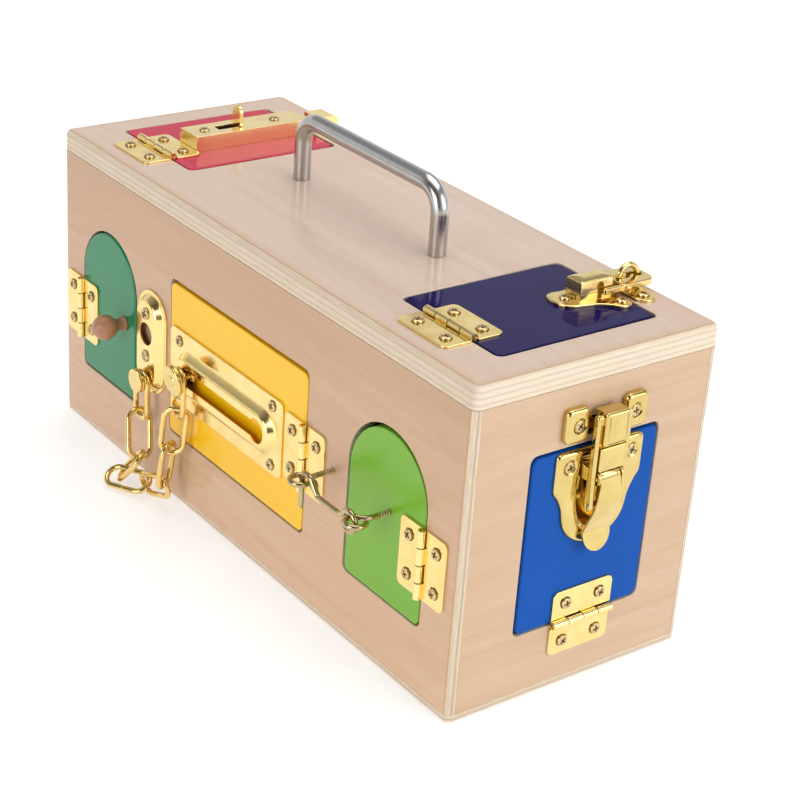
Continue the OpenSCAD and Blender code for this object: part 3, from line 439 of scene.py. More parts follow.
def arch(cx, w, z0, z1, r, n=8, m=40):
    s = z1 - w / 2
    return arc(cx - w / 2 + r, z0 + r, r, 180, 270, n) + arc(cx + w / 2 - r, z0 + r, r, 270, 360, n) + arc(cx, s, w / 2, 0, 180, m)


def obround(x0, x1, y, r, n=16):
    return arc(x1, y, r, -90, 90, n) + arc(x0, y, r, 90, 270, n)


def circle(cx, cy, r, n=40):
    return arc(cx, cy, r, 0, 360, n)[:-1]


def inset(pts, d, only=None):
    if abs(d) < 1e-9:
        return list(pts)
    out, n = [], len(pts)
    for i in range(n):
        a, b, c = pts[i - 1], pts[i], pts[(i + 1) % n]
        if only == "x":
            out.append((b[0] - math.copysign(d, b[0]), b[1]) if abs(b[0]) > 190 else b)
            continue
        u, v = Vector((b[0] - a[0], b[1] - a[1])), Vector((c[0] - b[0], c[1] - b[1]))
        if u.length < 1e-9 or v.length < 1e-9:
            u = v = u if u.length > v.length else v
        u.normalize(); v.normalize()
        n1, n2 = Vector((-u.y, u.x)), Vector((-v.y, v.x))
        k = max(0.35, 1 + n1.dot(n2))
        w = (n1 + n2) / k
        out.append((b[0] + w.x * d, b[1] + w.y * d))
    return out


def area(pts):
    return sum(pts[i - 1][0] * pts[i][1] - pts[i][0] * pts[i - 1][1] for i in range(len(pts))) / 2


class Geo:
    """Vertices and faces of one piece, in millimetres."""
    def __init__(self):
        self.v, self.f = [], []

    def add(self, v, f, M=None):
        o = len(self.v)
        self.v += [tuple(M @ Vector(p)) for p in v] if M is not None else [tuple(p) for p in v]
        flip = M is not None and M.determinant() < 0
        self.f += [tuple(o + i for i in (reversed(q) if flip else q)) for q in f]
        return self

    def join(self, other, M=None):
        return self.add(other.v, other.f, M)


def cap(loops, zs, up, V, F):
    """Fills the loops (first one outside, the rest holes) with triangles; loops hold vertex indices."""
    flat = [[Vector((V[i][0], V[i][1], 0)) for i in l] for l in loops]
    idx = [i for l in loops for i in l]
    for t in geometry.tessellate_polygon(flat):
        a, b, c = (idx[k] for k in t)
        s = (V[b][0] - V[a][0]) * (V[c][1] - V[a][1]) - (V[c][0] - V[a][0]) * (V[b][1] - V[a][1])
        if abs(s) < 1e-12:
            continue
        F.append((a, b, c) if (s > 0) == up else (a, c, b))


def ring_faces(a, b, F):
    n = len(a)
    for i in range(n):
        j = (i + 1) % n
        F.append((a[i], a[j], b[j], b[i]))


def edge_steps(z0, z1, rb, rt, n):
    s = [(rb * (1 - math.cos(RAD(90 * (1 - k / n)))), z0 + rb * (1 - math.sin(RAD(90 * (1 - k / n))))) for k in range(n + 1)] if rb > 0 else [(0.0, z0)]
    s += [(rt * (1 - math.cos(RAD(90 * k / n))), z1 - rt * (1 - math.sin(RAD(90 * k / n)))) for k in range(n + 1)] if rt > 0 else [(0.0, z1)]
    return s


def plate(outer, z0, z1, holes=(), rt=0.3, rb=0.0, hrt=0.25, hrb=0.0, n=3, only=None, top=True, bottom=True):
    """A flat piece with rounded edges. A hole is a loop, or (loop, steps) with steps of (inset outwards, z) from the top down."""
    V, F, tops, bots = [], [], [], []
    if area(outer) < 0:
        outer = outer[::-1]
    specs = [(outer, edge_steps(z0, z1, rb, rt, n))]
    for h in holes:
        loop, steps = h if isinstance(h[0], list) else (list(h), None)
        if area(loop) > 0:
            loop = loop[::-1]
        specs.append((loop, [(-d, z) for d, z in steps[::-1]] if steps else edge_steps(z0, z1, hrb, hrt, n)))
    for k, (loop, steps) in enumerate(specs):
        rings = []
        for d, z in steps:
            o = len(V)
            V += [(x, y, z) for x, y in inset(loop, d, only if k == 0 else None)]
            rings.append(list(range(o, o + len(loop))))
        for a, b in zip(rings, rings[1:]):
            ring_faces(a, b, F)
        tops.append(rings[-1])
        bots.append(rings[0])
    if top:
        cap(tops, None, True, V, F)
    if bottom:
        cap(bots, None, False, V, F)
    g = Geo()
    g.v, g.f = V, F
    return g


def rings_shell(loops_z, close_top=True, close_bottom=True):
    """Skin through a list of (loop, z) with equal point counts, from the bottom up."""
    V, F, rings = [], [], []
    for loop, z in loops_z:
        o = len(V)
        V += [(p[0], p[1], z) for p in loop]
        rings.append(list(range(o, o + len(loop))))
    for a, b in zip(rings, rings[1:]):
        ring_faces(a, b, F)
    if close_top:
        cap([rings[-1]], None, True, V, F)
    if close_bottom:
        cap([rings[0]], None, False, V, F)
    g = Geo()
    g.v, g.f = V, F
    return g


def lathe(profile, n=48):
    """Turned piece around local z; profile of (r, z) from the bottom to the top."""
    V, F, rows = [], [], []
    for r, z in profile:
        o = len(V)
        if r < 1e-6:
            V.append((0, 0, z))
            rows.append([o] * n)
        else:
            V += [(r * math.cos(2 * math.pi * i / n), r * math.sin(2 * math.pi * i / n), z) for i in range(n)]
            rows.append(list(range(o, o + n)))
    for a, b in zip(rows, rows[1:]):
        for i in range(n):
            j = (i + 1) % n
            q = []
            for k in (a[i], a[j], b[j], b[i]):
                if k not in q:
                    q.append(k)
            if len(q) > 2:
                F.append(tuple(q))
    for row, up in ((rows[0], False), (rows[-1], True)):
        if row[0] != row[-1]:
            F.append(tuple(row if up else row[::-1]))
    g = Geo()
    g.v, g.f = V, F
    return g


def tube(pts, r, n=20, closed=False, tip=0.35):
    """Round wire along points; r is a number or one radius for each point. Open ends are domed."""
    P = [Vector(p) for p in pts]
    R = list(r) if isinstance(r, (list, tuple)) else [r] * len(P)
    if not closed and tip > 0:
        for end in (0, -1):
            d = (P[end] - P[1 if end == 0 else -2]).normalized()
            e, q = P[end].copy(), R[end]
            extra = [(e + d * q * tip * math.sin(RAD(a)), q * math.cos(RAD(a))) for a in (35, 60, 80)]
            if end == 0:
                for p, k in extra:
                    P.insert(0, p); R.insert(0, k)
            else:
                for p, k in extra:
                    P.append(p); R.append(k)
    m = len(P)
    T = [((P[(i + 1) % m] if closed or i < m - 1 else P[i]) - (P[i - 1] if closed or i > 0 else P[i])).normalized() for i in range(m)]
    ref = Vector((0, 0, 1)) if abs(T[0].z) < 0.9 else Vector((1, 0, 0))
    U = [(ref - T[0] * ref.dot(T[0])).normalized()]
    for i in range(1, m):
        u = U[-1] - T[i] * U[-1].dot(T[i])
        U.append(u.normalized())
    turn = 0.0
    if closed:
        u = U[-1] - T[0] * U[-1].dot(T[0])
        u.normalize()
        turn = math.atan2(u.cross(U[0]).dot(T[0]), u.dot(U[0]))
    V, F, rows = [], [], []
    for i in range(m):
        w = T[i].cross(U[i])
        o = len(V)
        for j in range(n):
            a = 2 * math.pi * j / n + turn * i / m
            V.append(tuple(P[i] + (U[i] * math.cos(a) + w * math.sin(a)) * R[i]))
        rows.append(list(range(o, o + n)))
    for a, b in zip(rows, rows[1:] + ([rows[0]] if closed else [])):
        ring_faces(a, b, F)
    if not closed:
        F.append(tuple(rows[0][::-1]))
        F.append(tuple(rows[-1]))
    g = Geo()
    g.v, g.f = V, F
    return g


def smooth_path(pts, steps=6, closed=False):
    """Catmull-Rom curve through the points (tuples of any length)."""
    n = len(pts)
    P = lambda i: pts[i % n] if closed else pts[max(0, min(n - 1, i))]
    out = []
    for i in range(n if closed else n - 1):
        a, b, c, d = P(i - 1), P(i), P(i + 1), P(i + 2)
        for s in range(steps):
            t = s / steps
            out.append(tuple(0.5 * (2 * q + (r - p) * t + (2 * p - 5 * q + 4 * r - w) * t * t + (3 * q - p - 3 * r + w) * t ** 3) for p, q, r, w in zip(a, b, c, d)))
    if not closed:
        out.append(tuple(pts[-1]))
    return out


def finish_mesh(me, sharp=34):
    bm = bmesh.new()
    bm.from_mesh(me)
    bmesh.ops.remove_doubles(bm, verts=bm.verts, dist=2e-6)
    bmesh.ops.recalc_face_normals(bm, faces=bm.faces)
    bm.to_mesh(me)
    bm.free()
    for p in me.polygons:
        p.use_smooth = True
    me.set_sharp_from_angle(angle=RAD(sharp))


def piece(node, g, mat=None, sharp=34, name=None, weighted=True, also=()):
    me = bpy.data.meshes.new(name or "v_" + node)
    me.from_pydata([(x * MM, y * MM, z * MM) for x, y, z in g.v], [], g.f)
    finish_mesh(me, sharp)
    ob = bpy.data.objects.new(name or "v_" + node, me)
    bpy.context.scene.collection.objects.link(ob)
    if weighted:
        w = ob.modifiers.new("normals", "WEIGHTED_NORMAL")
        w.keep_sharp = True
        w.weight = 80
    me.materials.append(mat or material(node))
    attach(ob, BODY[node])
    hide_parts(node, *also)
    return ob


def soft_copy(node, width=0.35, seg=3, angle=40, mat=None):
    """A piece whose form is the construction's own, with its edges rounded over."""
    me = NODE[node].data.copy()
    me.name = "v_" + node
    bm = bmesh.new()
    bm.from_mesh(me)
    bmesh.ops.remove_doubles(bm, verts=bm.verts, dist=3e-6)
    bmesh.ops.dissolve_limit(bm, angle_limit=RAD(0.6), use_dissolve_boundaries=False, verts=bm.verts, edges=bm.edges)
    bm.to_mesh(me)
    bm.free()
    for p in me.polygons:
        p.use_smooth = True
    me.set_sharp_from_angle(angle=RAD(60))
    if me.has_custom_normals:
        me.attributes.remove(me.attributes["custom_normal"])
    ob = bpy.data.objects.new("v_" + node, me)
    bpy.context.scene.collection.objects.link(ob)
    b = ob.modifiers.new("round", "BEVEL")
    b.width = width * MM
    b.segments = seg
    b.limit_method = "ANGLE"
    b.angle_limit = RAD(angle)
    b.use_clamp_overlap = True
    w = ob.modifiers.new("normals", "WEIGHTED_NORMAL")
    w.keep_sharp = True
    me.materials.clear()
    me.materials.append(mat or material(node))
    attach(ob, BODY[node])
    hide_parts(node)
    return ob


# ---------------------------------------------------------------- case
Z0, Z1 = 4.0, 167.0
DG_X, LG_X = -138.75, 134.1
YE = (-70.3, 39.3, 65.4, 132.8)
RE = (-176.0, -46.0, -100.0, 51.8)
PU = (96.05, -46.0, 172.55, 53.2)
BL = (-38.5, 36.8, 41.5, 135.0)


def long_panel(holes):
    """Front or back panel in front coordinates: full width outside, rabbeted over the end panels inside."""
    o = [(-193.5, Z0), (-184.5, Z0), (184.5, Z0), (193.5, Z0), (193.5, Z1), (184.5, Z1), (-184.5, Z1), (-193.5, Z1)]
    g = plate(o, -4.5, 0, holes, rt=4.2, hrt=0.4, n=7, only="x", bottom=False)
    i = [(-184.5, Z0), (184.5, Z0), (184.5, Z1), (-184.5, Z1)]
    g.join(plate(i, -9, -4.5, holes, rt=0, hrt=0, rb=0, hrb=0, top=False))
    for s in (-1, 1):
        q = [(s * 184.5, Z0, -4.5), (s * 193.5, Z0, -4.5), (s * 193.5, Z1, -4.5), (s * 184.5, Z1, -4.5)]
        g.add(q, [(3, 2, 1, 0) if s > 0 else (0, 1, 2, 3)])
    return g


doors_cut = [arch(DG_X, 63, 39, 133, 4), arch(LG_X, 64.8, 39, 133, 4), rrect(*YE, 4)]
piece("front_panel", Geo().join(long_panel(doors_cut), on_front(0, 0)))
piece("back_panel", Geo().join(long_panel([]), rot("Z", 180) @ on_front(0, 0)))
end_face = [(-70.5, Z0), (70.5, Z0), (70.5, Z1), (-70.5, Z1)]
piece("right_end_panel", Geo().join(plate(end_face, -9, 0, [rrect(*BL, 4)], rt=0.3, hrt=0.5), on_end(0, 0)))
piece("left_end_panel", Geo().join(plate(end_face, -9, 0, rt=0.3), rot("Z", 180) @ on_end(0, 0)))
piece("top_panel", Geo().join(plate(rrect(-193.5, -75, 193.5, 75, 4.5, 10), -12, 0, [rrect(*RE, 4), rrect(*PU, 4)], rt=3.0, rb=0.8, hrt=0.6, n=6), on_top(0, 0)))
piece("bottom_panel", plate(rrect(-193.5, -75, 193.5, 75, 4.5, 10), 0, 4, rt=0.5, rb=1.0, n=4))
soft_copy("door_stops", 0.5)

# ---------------------------------------------------------------- doors
DOOR_R = 0.6
for node, cx, w, z0, z1 in (("dark_green_door", DG_X - 0.5, 60.4, 40.3, 131.7), ("light_green_door", LG_X + 0.5, 62.2, 39.9, 130.8)):
    piece(node, Geo().join(plate(arch(cx, w, z0, z1, 4), -9, 0, rt=1.2 if cx < 0 else DOOR_R, rb=0.6, n=5), on_front(0, 0)))
piece("yellow_door", Geo().join(plate(rrect(-69.4, 40.6, 64.6, 130.6, 4), -9, 0, rt=DOOR_R, rb=0.6, n=5), on_front(0, 0)))
piece("red_door", Geo().join(plate(rrect(-174.6, -45.2, -101.4, 50.0, 4), -12, 0, rt=0.5, rb=0.6, n=5), on_top(0, 0)))
piece("purple_door", Geo().join(plate(rrect(97.45, -45.2, 171.15, 51.7, 4), -12, 0, rt=0.5, rb=0.6, n=5), on_top(0, 0)))
piece("blue_door", Geo().join(plate(rrect(-37.1, 37.6, 40.8, 133.2, 4), -9, 0, rt=1.4, rb=0.6, n=5), on_end(0, 0)))

# ---------------------------------------------------------------- screws
def carve(body, cutters):
    """The body with the cutters' volumes taken out of it."""
    obs = []
    for g in [body] + cutters:
        me = bpy.data.meshes.new("carve")
        me.from_pydata(g.v, [], g.f)
        ob = bpy.data.objects.new("carve", me)
        bpy.context.scene.collection.objects.link(ob)
        obs.append(ob)
    for c in obs[1:]:
        b = obs[0].modifiers.new("cut", "BOOLEAN")
        b.object = c
        b.operation = "DIFFERENCE"
        b.solver = "EXACT"
    bpy.context.view_layer.update()
    out = bpy.data.meshes.new_from_object(obs[0].evaluated_get(bpy.context.evaluated_depsgraph_get()))
    g = Geo()
    g.v = [tuple(v.co) for v in out.vertices]
    g.f = [tuple(q.vertices) for q in out.polygons]
    for o in obs:
        bpy.data.objects.remove(o)
    return g


BOX_FACES = [(3, 2, 1, 0), (4, 5, 6, 7), (0, 1, 5, 4), (1, 2, 6, 5), (2, 3, 7, 6), (3, 0, 4, 7)]


def wedge(l0, w0, z0, l1, w1, z1, turn):
    """Tapered block, half sizes l and w at the two heights."""
    b = [(-l0, -w0, z0), (l0, -w0, z0), (l0, w0, z0), (-l0, w0, z0), (-l1, -w1, z1), (l1, -w1, z1), (l1, w1, z1), (-l1, w1, z1)]
    return Geo().add(b, BOX_FACES, rot("Z", turn))


def make_screw():
    """Pan-head cross-recess screw, head seated at z = 0."""
    prof = [(0.0, -7.5), (0.3, -7.3), (1.3, -5.6), (1.3, -0.6), (2.6, -0.5), (2.9, -0.2), (2.95, 0.3), (2.95, 0.8), (2.82, 1.06), (2.5, 1.24), (1.6, 1.33), (0.0, 1.37)]
    return carve(lathe(prof, 40), [wedge(0.9, 0.34, 0.0, 2.3, 0.58, 1.7, 0.01), wedge(0.9, 0.34, 0.0, 2.3, 0.58, 1.7, 90.01), wedge(0.55, 0.55, 0.05, 0.85, 0.85, 1.7, 45.02)])


SCREW_GEO = make_screw()
LEAF_T, HX, HY = 1.2, 10.7, 10.75
DG_PIN, YE_PIN, LG_PIN = (-169.85, 76.0), (65.0, 85.0), (166.1, 75.6)
RE_PIN, PU_PIN, BL_PIN = (-138.0, -45.6), (135.3, -45.6), (3.5, 37.2)
TRACK_AT = ((-58.0, 67.0), (-58.0, 99.4), (35.4, 67.0), (35.4, 101.0))
KX, BX, HSX, LY = -88.4, -133.8, 139.7, 3.5


def screws(node, places):
    """places: (frame, a, b, height of the seat); every head is turned a little differently."""
    g = Geo()
    for k, (fr, a, b, h, *big) in enumerate(places):
        g.join(SCREW_GEO, fr(a, b) @ move(0, 0, h) @ rot("Z", (k * 47 + 17) % 90) @ Matrix.Scale(big[0] if big else 1.0, 4))
    piece(node, g, sharp=30)


def pair(fr, p, dx, dy, h=LEAF_T):
    return [(fr, p[0] + dx, p[1] - dy, h), (fr, p[0] + dx, p[1] + dy, h)]


def flat_pair(fr, p, dx, dy, h=LEAF_T):
    return [(fr, p[0] - dx, p[1] + dy, h), (fr, p[0] + dx, p[1] + dy, h)]


screws("case_screws", pair(on_front, DG_PIN, -HX, HY) + pair(on_front, YE_PIN, HX, HY) + pair(on_front, LG_PIN, HX, HY)
       + [(on_front, KX, 78.8, 4.6, 1.2), (on_front, KX, 104.6, 4.6, 1.2)]
       + flat_pair(on_top, RE_PIN, HY, -HX) + flat_pair(on_top, PU_PIN, HY, -HX)
       + [(on_top, BX - 11.2, 63.5, 1.2), (on_top, BX + 11.2, 63.5, 1.2), (on_top, HSX - 12.5, 61, 1.5), (on_top, HSX + 12.5, 61, 1.5)]
       + flat_pair(on_end, BL_PIN, HY, -HX) + [(on_end, LY - 17.4, 147, 2.75), (on_end, LY + 17.4, 147, 2.75)])
screws("dark_green_door_screws", pair(on_front, DG_PIN, HX, HY))
screws("yellow_door_screws", pair(on_front, YE_PIN, -HX, HY) + [(on_front, x, z, 1.0) for x, z in TRACK_AT])
screws("light_green_door_screws", pair(on_front, LG_PIN, -HX, HY))
screws("red_door_screws", flat_pair(on_top, RE_PIN, HY, HX) + [(on_top, BX, -17, 8.7), (on_top, BX, 30, 8.7)])
screws("purple_door_screws", flat_pair(on_top, PU_PIN, HY, HX) + [(on_top, HSX - 3, 23.5, 1.5), (on_top, HSX - 13.2, 46.5, 1.5), (on_top, HSX + 13.2, 46.5, 1.5)])
screws("blue_door_screws", flat_pair(on_end, BL_PIN, HY, HX) + [(on_end, LY - 19.3, 125, 1.4), (on_end, LY + 19.3, 125, 1.4)])

# ---------------------------------------------------------------- hinges
def hinge_leaf(own):
    """Rolled butt-hinge leaf, local y along the pin, +x towards the leaf's own side."""
    L, W, r, kr, seg, x0 = 19.0, 18.0, 3.4, 2.1, 9.5, 2.6
    kz = 2.2
    spans = [(-L + i * seg + 0.15, -L + (i + 1) * seg - 0.15) for i in range(own, 4, 2)]
    o = [(x0, -L)] + arc(W - r, -L + r, r, 270, 360, 8) + arc(W - r, L - r, r, 0, 90, 8) + [(x0, L)]
    for a, b in spans[::-1]:
        if abs(o[-1][1] - b) > 0.2:
            o.append((x0, b))
        else:
            o[-1] = (x0, b)
        o += [(0.6, b), (0.6, a), (x0, a)]
    if abs(o[-1][1] + L) < 0.2:
        o[0] = o.pop()
    holes = [circle(HX, s * HY, 3.25, 28) for s in (-1, 1)]
    g = plate(o, 0.0, LEAF_T, holes, rt=0.28, rb=0.1, hrt=0.3, n=3)
    for a, b in spans:
        ch = 0.22
        ring = lathe([(1.16, a), (kr - ch, a), (kr, a + ch), (kr, b - ch), (kr - ch, b), (1.16, b), (1.16, a)], 40)
        ring.f = ring.f[:6 * 40]
        g.join(ring, move(0, 0, kz) @ rot("X", -90))
    return g


AT = {
    "dark_green": on_front(*DG_PIN), "yellow": on_front(*YE_PIN) @ MIRROR_X, "light_green": on_front(*LG_PIN) @ MIRROR_X,
    "red": on_top(*RE_PIN) @ rot("Z", 90), "purple": on_top(*PU_PIN) @ rot("Z", 90), "blue": on_end(*BL_PIN) @ rot("Z", 90),
}
for k, M in AT.items():
    piece(k + "_frame_leaf", Geo().join(hinge_leaf(0), M @ MIRROR_X))
    piece(k + "_door_leaf", Geo().join(hinge_leaf(1), M))
pins = Geo()
for M in AT.values():
    pins.join(lathe([(0, -17.2), (0.85, -17.15), (1.1, -16.9), (1.1, 16.9), (0.85, 17.15), (0, 17.2)], 28), M @ move(0, 0, 2.2) @ rot("X", -90))
piece("hinge_pins", pins)

# ---------------------------------------------------------------- handle
def bend_path(pts, r, n=12):
    """Straight runs joined by arcs of radius r."""
    out = [Vector(pts[0])]
    for a, b, c in zip(pts, pts[1:], pts[2:]):
        a, b, c = Vector(a), Vector(b), Vector(c)
        u, v = (b - a).normalized(), (c - b).normalized()
        th = u.angle(v)
        t = r * math.tan(th / 2)
        p, q = b - u * t, b + v * t
        w = (v - u).normalized()
        m = b + w * (r / math.cos(th / 2))
        for i in range(n + 1):
            x = p - m
            ax = u.cross(v).normalized()
            out.append(m + Matrix.Rotation(th * i / n, 3, ax) @ x)
    out.append(Vector(pts[-1]))
    return out


HZ = 179.0
path = bend_path([(-63.5, 3.3, HZ), (-63.5, 3.3, HZ + 35.25), (60.5, 3.3, HZ + 35.25), (60.5, 3.3, HZ)], 13.5, 18)
path = [path[0], path[0] + Vector((0, 0, 0.35))] + path[1:-1] + [path[-1] + Vector((0, 0, 0.35)), path[-1]]
radii = [4.5] + [4.74] * (len(path) - 2) + [4.5]
piece("handle", tube(path, radii, 40, tip=0))
for n in ("handle_screws", "magnetic_catch", "strike_plate"):
    soft_copy(n, 0.25)

# ---------------------------------------------------------------- knob
ball = [(7.4 * math.cos(RAD(a)), 12.6 + 7.4 * math.sin(RAD(a))) for a in range(-58, 90, 4)] + [(0.0, 20.0)]
knob = [(0.0, -6.8), (2.6, -6.8), (3.0, -6.4), (3.0, 0.0), (3.9, 0.02), (4.3, 0.35), (4.2, 0.9), (3.75, 1.7), (3.45, 2.8), (3.35, 4.2), (3.5, 5.6)] + ball
piece("wooden_knob", Geo().join(lathe(knob, 64), on_front(-121.5, 84.5)), sharp=50)

# ---------------------------------------------------------------- chain lock
def pressed(base, centre, base_r, shoulder, top_z, top_holes, base_holes, sheet=1.0):
    """Sheet-metal plate with a pressed-up oval dome. centre(r) gives the oval loop of that radius; shoulder is (r, z) from the base up."""
    V, F = [], []
    def ring(loop, z):
        o = len(V)
        V.extend((x, y, z) for x, y in loop)
        return list(range(o, o + len(loop)))
    outer = base if area(base) > 0 else base[::-1]
    st = edge_steps(0.0, base_r, 0.12, 0.35, 3)
    edge = [ring(inset(outer, d), z) for d, z in st]
    for a, b in zip(edge, edge[1:]):
        ring_faces(a, b, F)
    up = [ring(centre(r), z) for r, z in shoulder]
    bh_t, bh_b = [], []
    for h in base_holes:
        loop = h[::-1] if area(h) > 0 else h
        s = [ring(inset(loop, d), z) for d, z in edge_steps(0.0, base_r, 0.0, 0.25, 2)]
        for a, b in zip(s, s[1:]):
            ring_faces(a, b, F)
        bh_t.append(s[-1]); bh_b.append(s[0])
    cap([edge[-1], up[0]] + bh_t, None, True, V, F)
    for a, b in zip(up, up[1:]):
        ring_faces(a, b, F)
    under = [ring(centre(r - sheet * 0.75), max(0.0, z - sheet)) for r, z in shoulder if z - sheet > -0.05 or r == shoulder[0][0]]
    th_t, th_b = [], []
    for h in top_holes:
        loop, dish = h
        loop = loop[::-1] if area(loop) > 0 else loop
        steps = [(-d, z) for d, z in dish[::-1]]
        s = [ring(inset(loop, d), z) for d, z in steps]
        for a, b in zip(s, s[1:]):
            ring_faces(a, b, F)
        th_t.append(s[-1]); th_b.append(s[0])
    cap([up[-1]] + th_t, None, True, V, F)
    cap([under[-1]] + th_b, None, False, V, F)
    for a, b in zip(under, under[1:]):
        ring_faces(b, a, F)
    cap([edge[0], under[0]] + bh_b, None, False, V, F)
    g = Geo()
    g.v, g.f = V, F
    return g


def dish(top_z, sheet=1.0, r=0.3):
    """Steps of a plain hole through the raised face with a softened rim."""
    return [(r, top_z), (r * 0.35, top_z - r * 0.3), (0.0, top_z - r), (0.0, top_z - sheet)]


def track_slot():
    x0, x1, y, r, R = -46.0, 26.5, 83.5, 5.1, 7.2
    a = math.degrees(math.asin(r / R))
    big = arc(x1, y, R, -180 + a, 180 - a, 30)
    return arc(x0, y, r, 90, 270, 18) + big


oval = lambda r: obround(-46.5, 27.0, 83.5, r, 30)
TS = [(13.9, 1.2), (13.0, 1.32), (12.2, 1.75), (10.1, 4.3), (9.5, 4.9), (8.8, 5.2)]
track = pressed(rrect(-67.8, 61.8, 45, 106.2, 4), oval, 1.2, TS, 5.2, [(track_slot(), dish(5.2))], [circle(x, z, 3.2, 28) for x, z in TRACK_AT])
piece("track_plate", Geo().join(track, on_front(0, 0)), sharp=40)
kov = lambda r: [(KX - y, x) for x, y in obround(70.7, 101.7, 0.0, r, 26)]
KS = [(14.0, 1.2), (13.4, 1.3), (12.9, 1.75), (10.9, 4.2), (10.3, 4.8), (9.6, 5.0)]
hole_k = lambda z, r: circle(KX, z, r, 36)
keeper = pressed(kov(15.5), kov, 1.2, KS, 5.0,
                 [(hole_k(92.2, 7.1), dish(5.0, 1.0, 0.45)), (hole_k(78.8, 3.75), dish(5.0)), (hole_k(104.6, 3.75), dish(5.0)), (hole_k(64.6, 2.56), dish(5.0, 1.0, 0.2))], [])
piece("chain_keeper_plate", Geo().join(keeper, on_front(0, 0)), sharp=40)
stud = [(0, -5.5), (1.6, -5.5), (2.0, -5.1), (2.0, 0.0), (2.5, 0.0), (2.5, 9.0), (6.7, 9.0), (6.98, 9.2), (7.0, 10.0), (6.8, 10.25), (6.55, 10.3), (6.5, 10.55), (6.8, 10.65), (7.0, 10.9), (7.0, 11.5), (6.85, 11.85), (6.4, 12.05), (4.0, 12.1), (0, 12.1)]
piece("chain_anchor_stud", Geo().join(lathe(stud, 48), on_front(KX, 64.6)), sharp=40, mat=GOLD5)
slider = [(0, 1.2), (5.6, 1.2), (5.8, 1.4), (5.8, 2.6), (5.6, 2.8), (3.3, 2.8), (3.1, 3.0), (3.1, 10.6), (8.7, 10.6), (8.95, 10.8), (9.0, 11.3), (8.85, 11.75), (8.45, 11.85), (8.4, 12.1), (8.8, 12.2), (9.0, 12.5), (8.98, 13.0), (8.7, 13.4), (8.1, 13.6),
          (7.0, 13.68), (3.9, 13.6), (3.5, 13.3), (3.1, 13.25), (2.85, 13.5), (2.3, 13.75), (1.0, 13.8), (0, 13.8)]
piece("chain_slider", Geo().join(lathe(slider, 56), on_front(-46, 84) @ move(0, 0, 5) @ rot("X", 8) @ move(0, 0, -5)), sharp=40, mat=GOLD5)


def link(a, b, side):
    a, b, s = Vector(a), Vector(b), Vector(side)
    D, Mw = 28.0, 12.5
    d = (b - a).normalized()
    x = (s - d * s.dot(d)).normalized()
    c = a + d * D / 2
    h = (D - Mw) / 2
    pts = [(Mw / 2 * math.cos(RAD(t)), h + Mw / 2 * math.sin(RAD(t))) for t in range(0, 181, 12)]
    pts += [(-Mw / 2, h * q) for q in (0.5, 0.0, -0.5)]
    pts += [(Mw / 2 * math.cos(RAD(t)), -h + Mw / 2 * math.sin(RAD(t))) for t in range(180, 361, 12)]
    pts += [(Mw / 2, h * q) for q in (-0.5, 0.0, 0.5)]
    P = [c + x * u + d * v for u, v in pts]
    g = tube(P, 1.64, 24, closed=True)
    # butt joint of the bent wire, halfway along one side
    q = c - x * Mw / 2
    seam = tube([q - d * 0.22, q - d * 0.12, q + d * 0.12, q + d * 0.22], [1.64, 1.68, 1.68, 1.64], 24, tip=0)
    g.join(seam)
    return g


YF = -75.0
piece("chain_links_fixed_side", link((KX, YF - 7.2, 69.0), (KX, YF - 7.2, 30), (1, 0, 0)).join(
    link((-89.2, YF - 8.2, 46), (-76.5, YF - 15, 22), (0.2, 0.98, 0))).join(
    link((-72.6, YF - 16.6, 25), (-93.6, YF - 18, 3.4), (0.5, -0.74, -0.43))), mat=GOLD5)
piece("chain_links_bottom", link((-95.4, YF - 24.7, 5.6), (-70.4, YF - 13, 7.2), (-0.36, 0.76, 0.54)).join(
    link((-75.4, YF - 13, 6.4), (-48, YF - 13, 16), (0.28, 0.2, -0.92))), mat=GOLD5)
piece("chain_links_slider_side", link((-50, YF - 11.4, 42.2), (-54, YF - 13, 13), (0.5, -0.87, 0)).join(
    link((-46.6, YF - 9, 65.2), (-49, YF - 11, 37), (0.6, 0.8, 0))).join(
    link((-46, YF - 8.4, 88.8), (-46, YF - 8.4, 50), (0.995, -0.1, 0))), mat=GOLD5)

# ---------------------------------------------------------------- hook and eyes
def screw_eye():
    """Bent wire eye with a threaded shank, local z out of the wood, ring in the local x-z plane."""
    R, c = 5.1, 20.0
    pts = [(0, -6.4), (0, -3), (0, 2), (0, 6), (0, 9), (0.05, 11), (0.5, 12.8), (1.45, 14.6)]
    pts += [(R * math.cos(RAD(t)), c + R * math.sin(RAD(t))) for t in range(-60, 247, 11)]
    pts = smooth_path(pts, 3)
    g = tube([(x, 0, z) for x, z in pts], 1.45, 20)
    hel = [(1.3 * math.cos(2 * math.pi * t / 16), 1.3 * math.sin(2 * math.pi * t / 16), -4.5 + 1.55 * t / 16) for t in range(0, 16 * 8 + 1)]
    rr = [0.1 + 0.34 * min(1.0, i / 10, (len(hel) - 1 - i) / 24) for i in range(len(hel))]
    g.join(tube(hel, rr, 8))
    return g


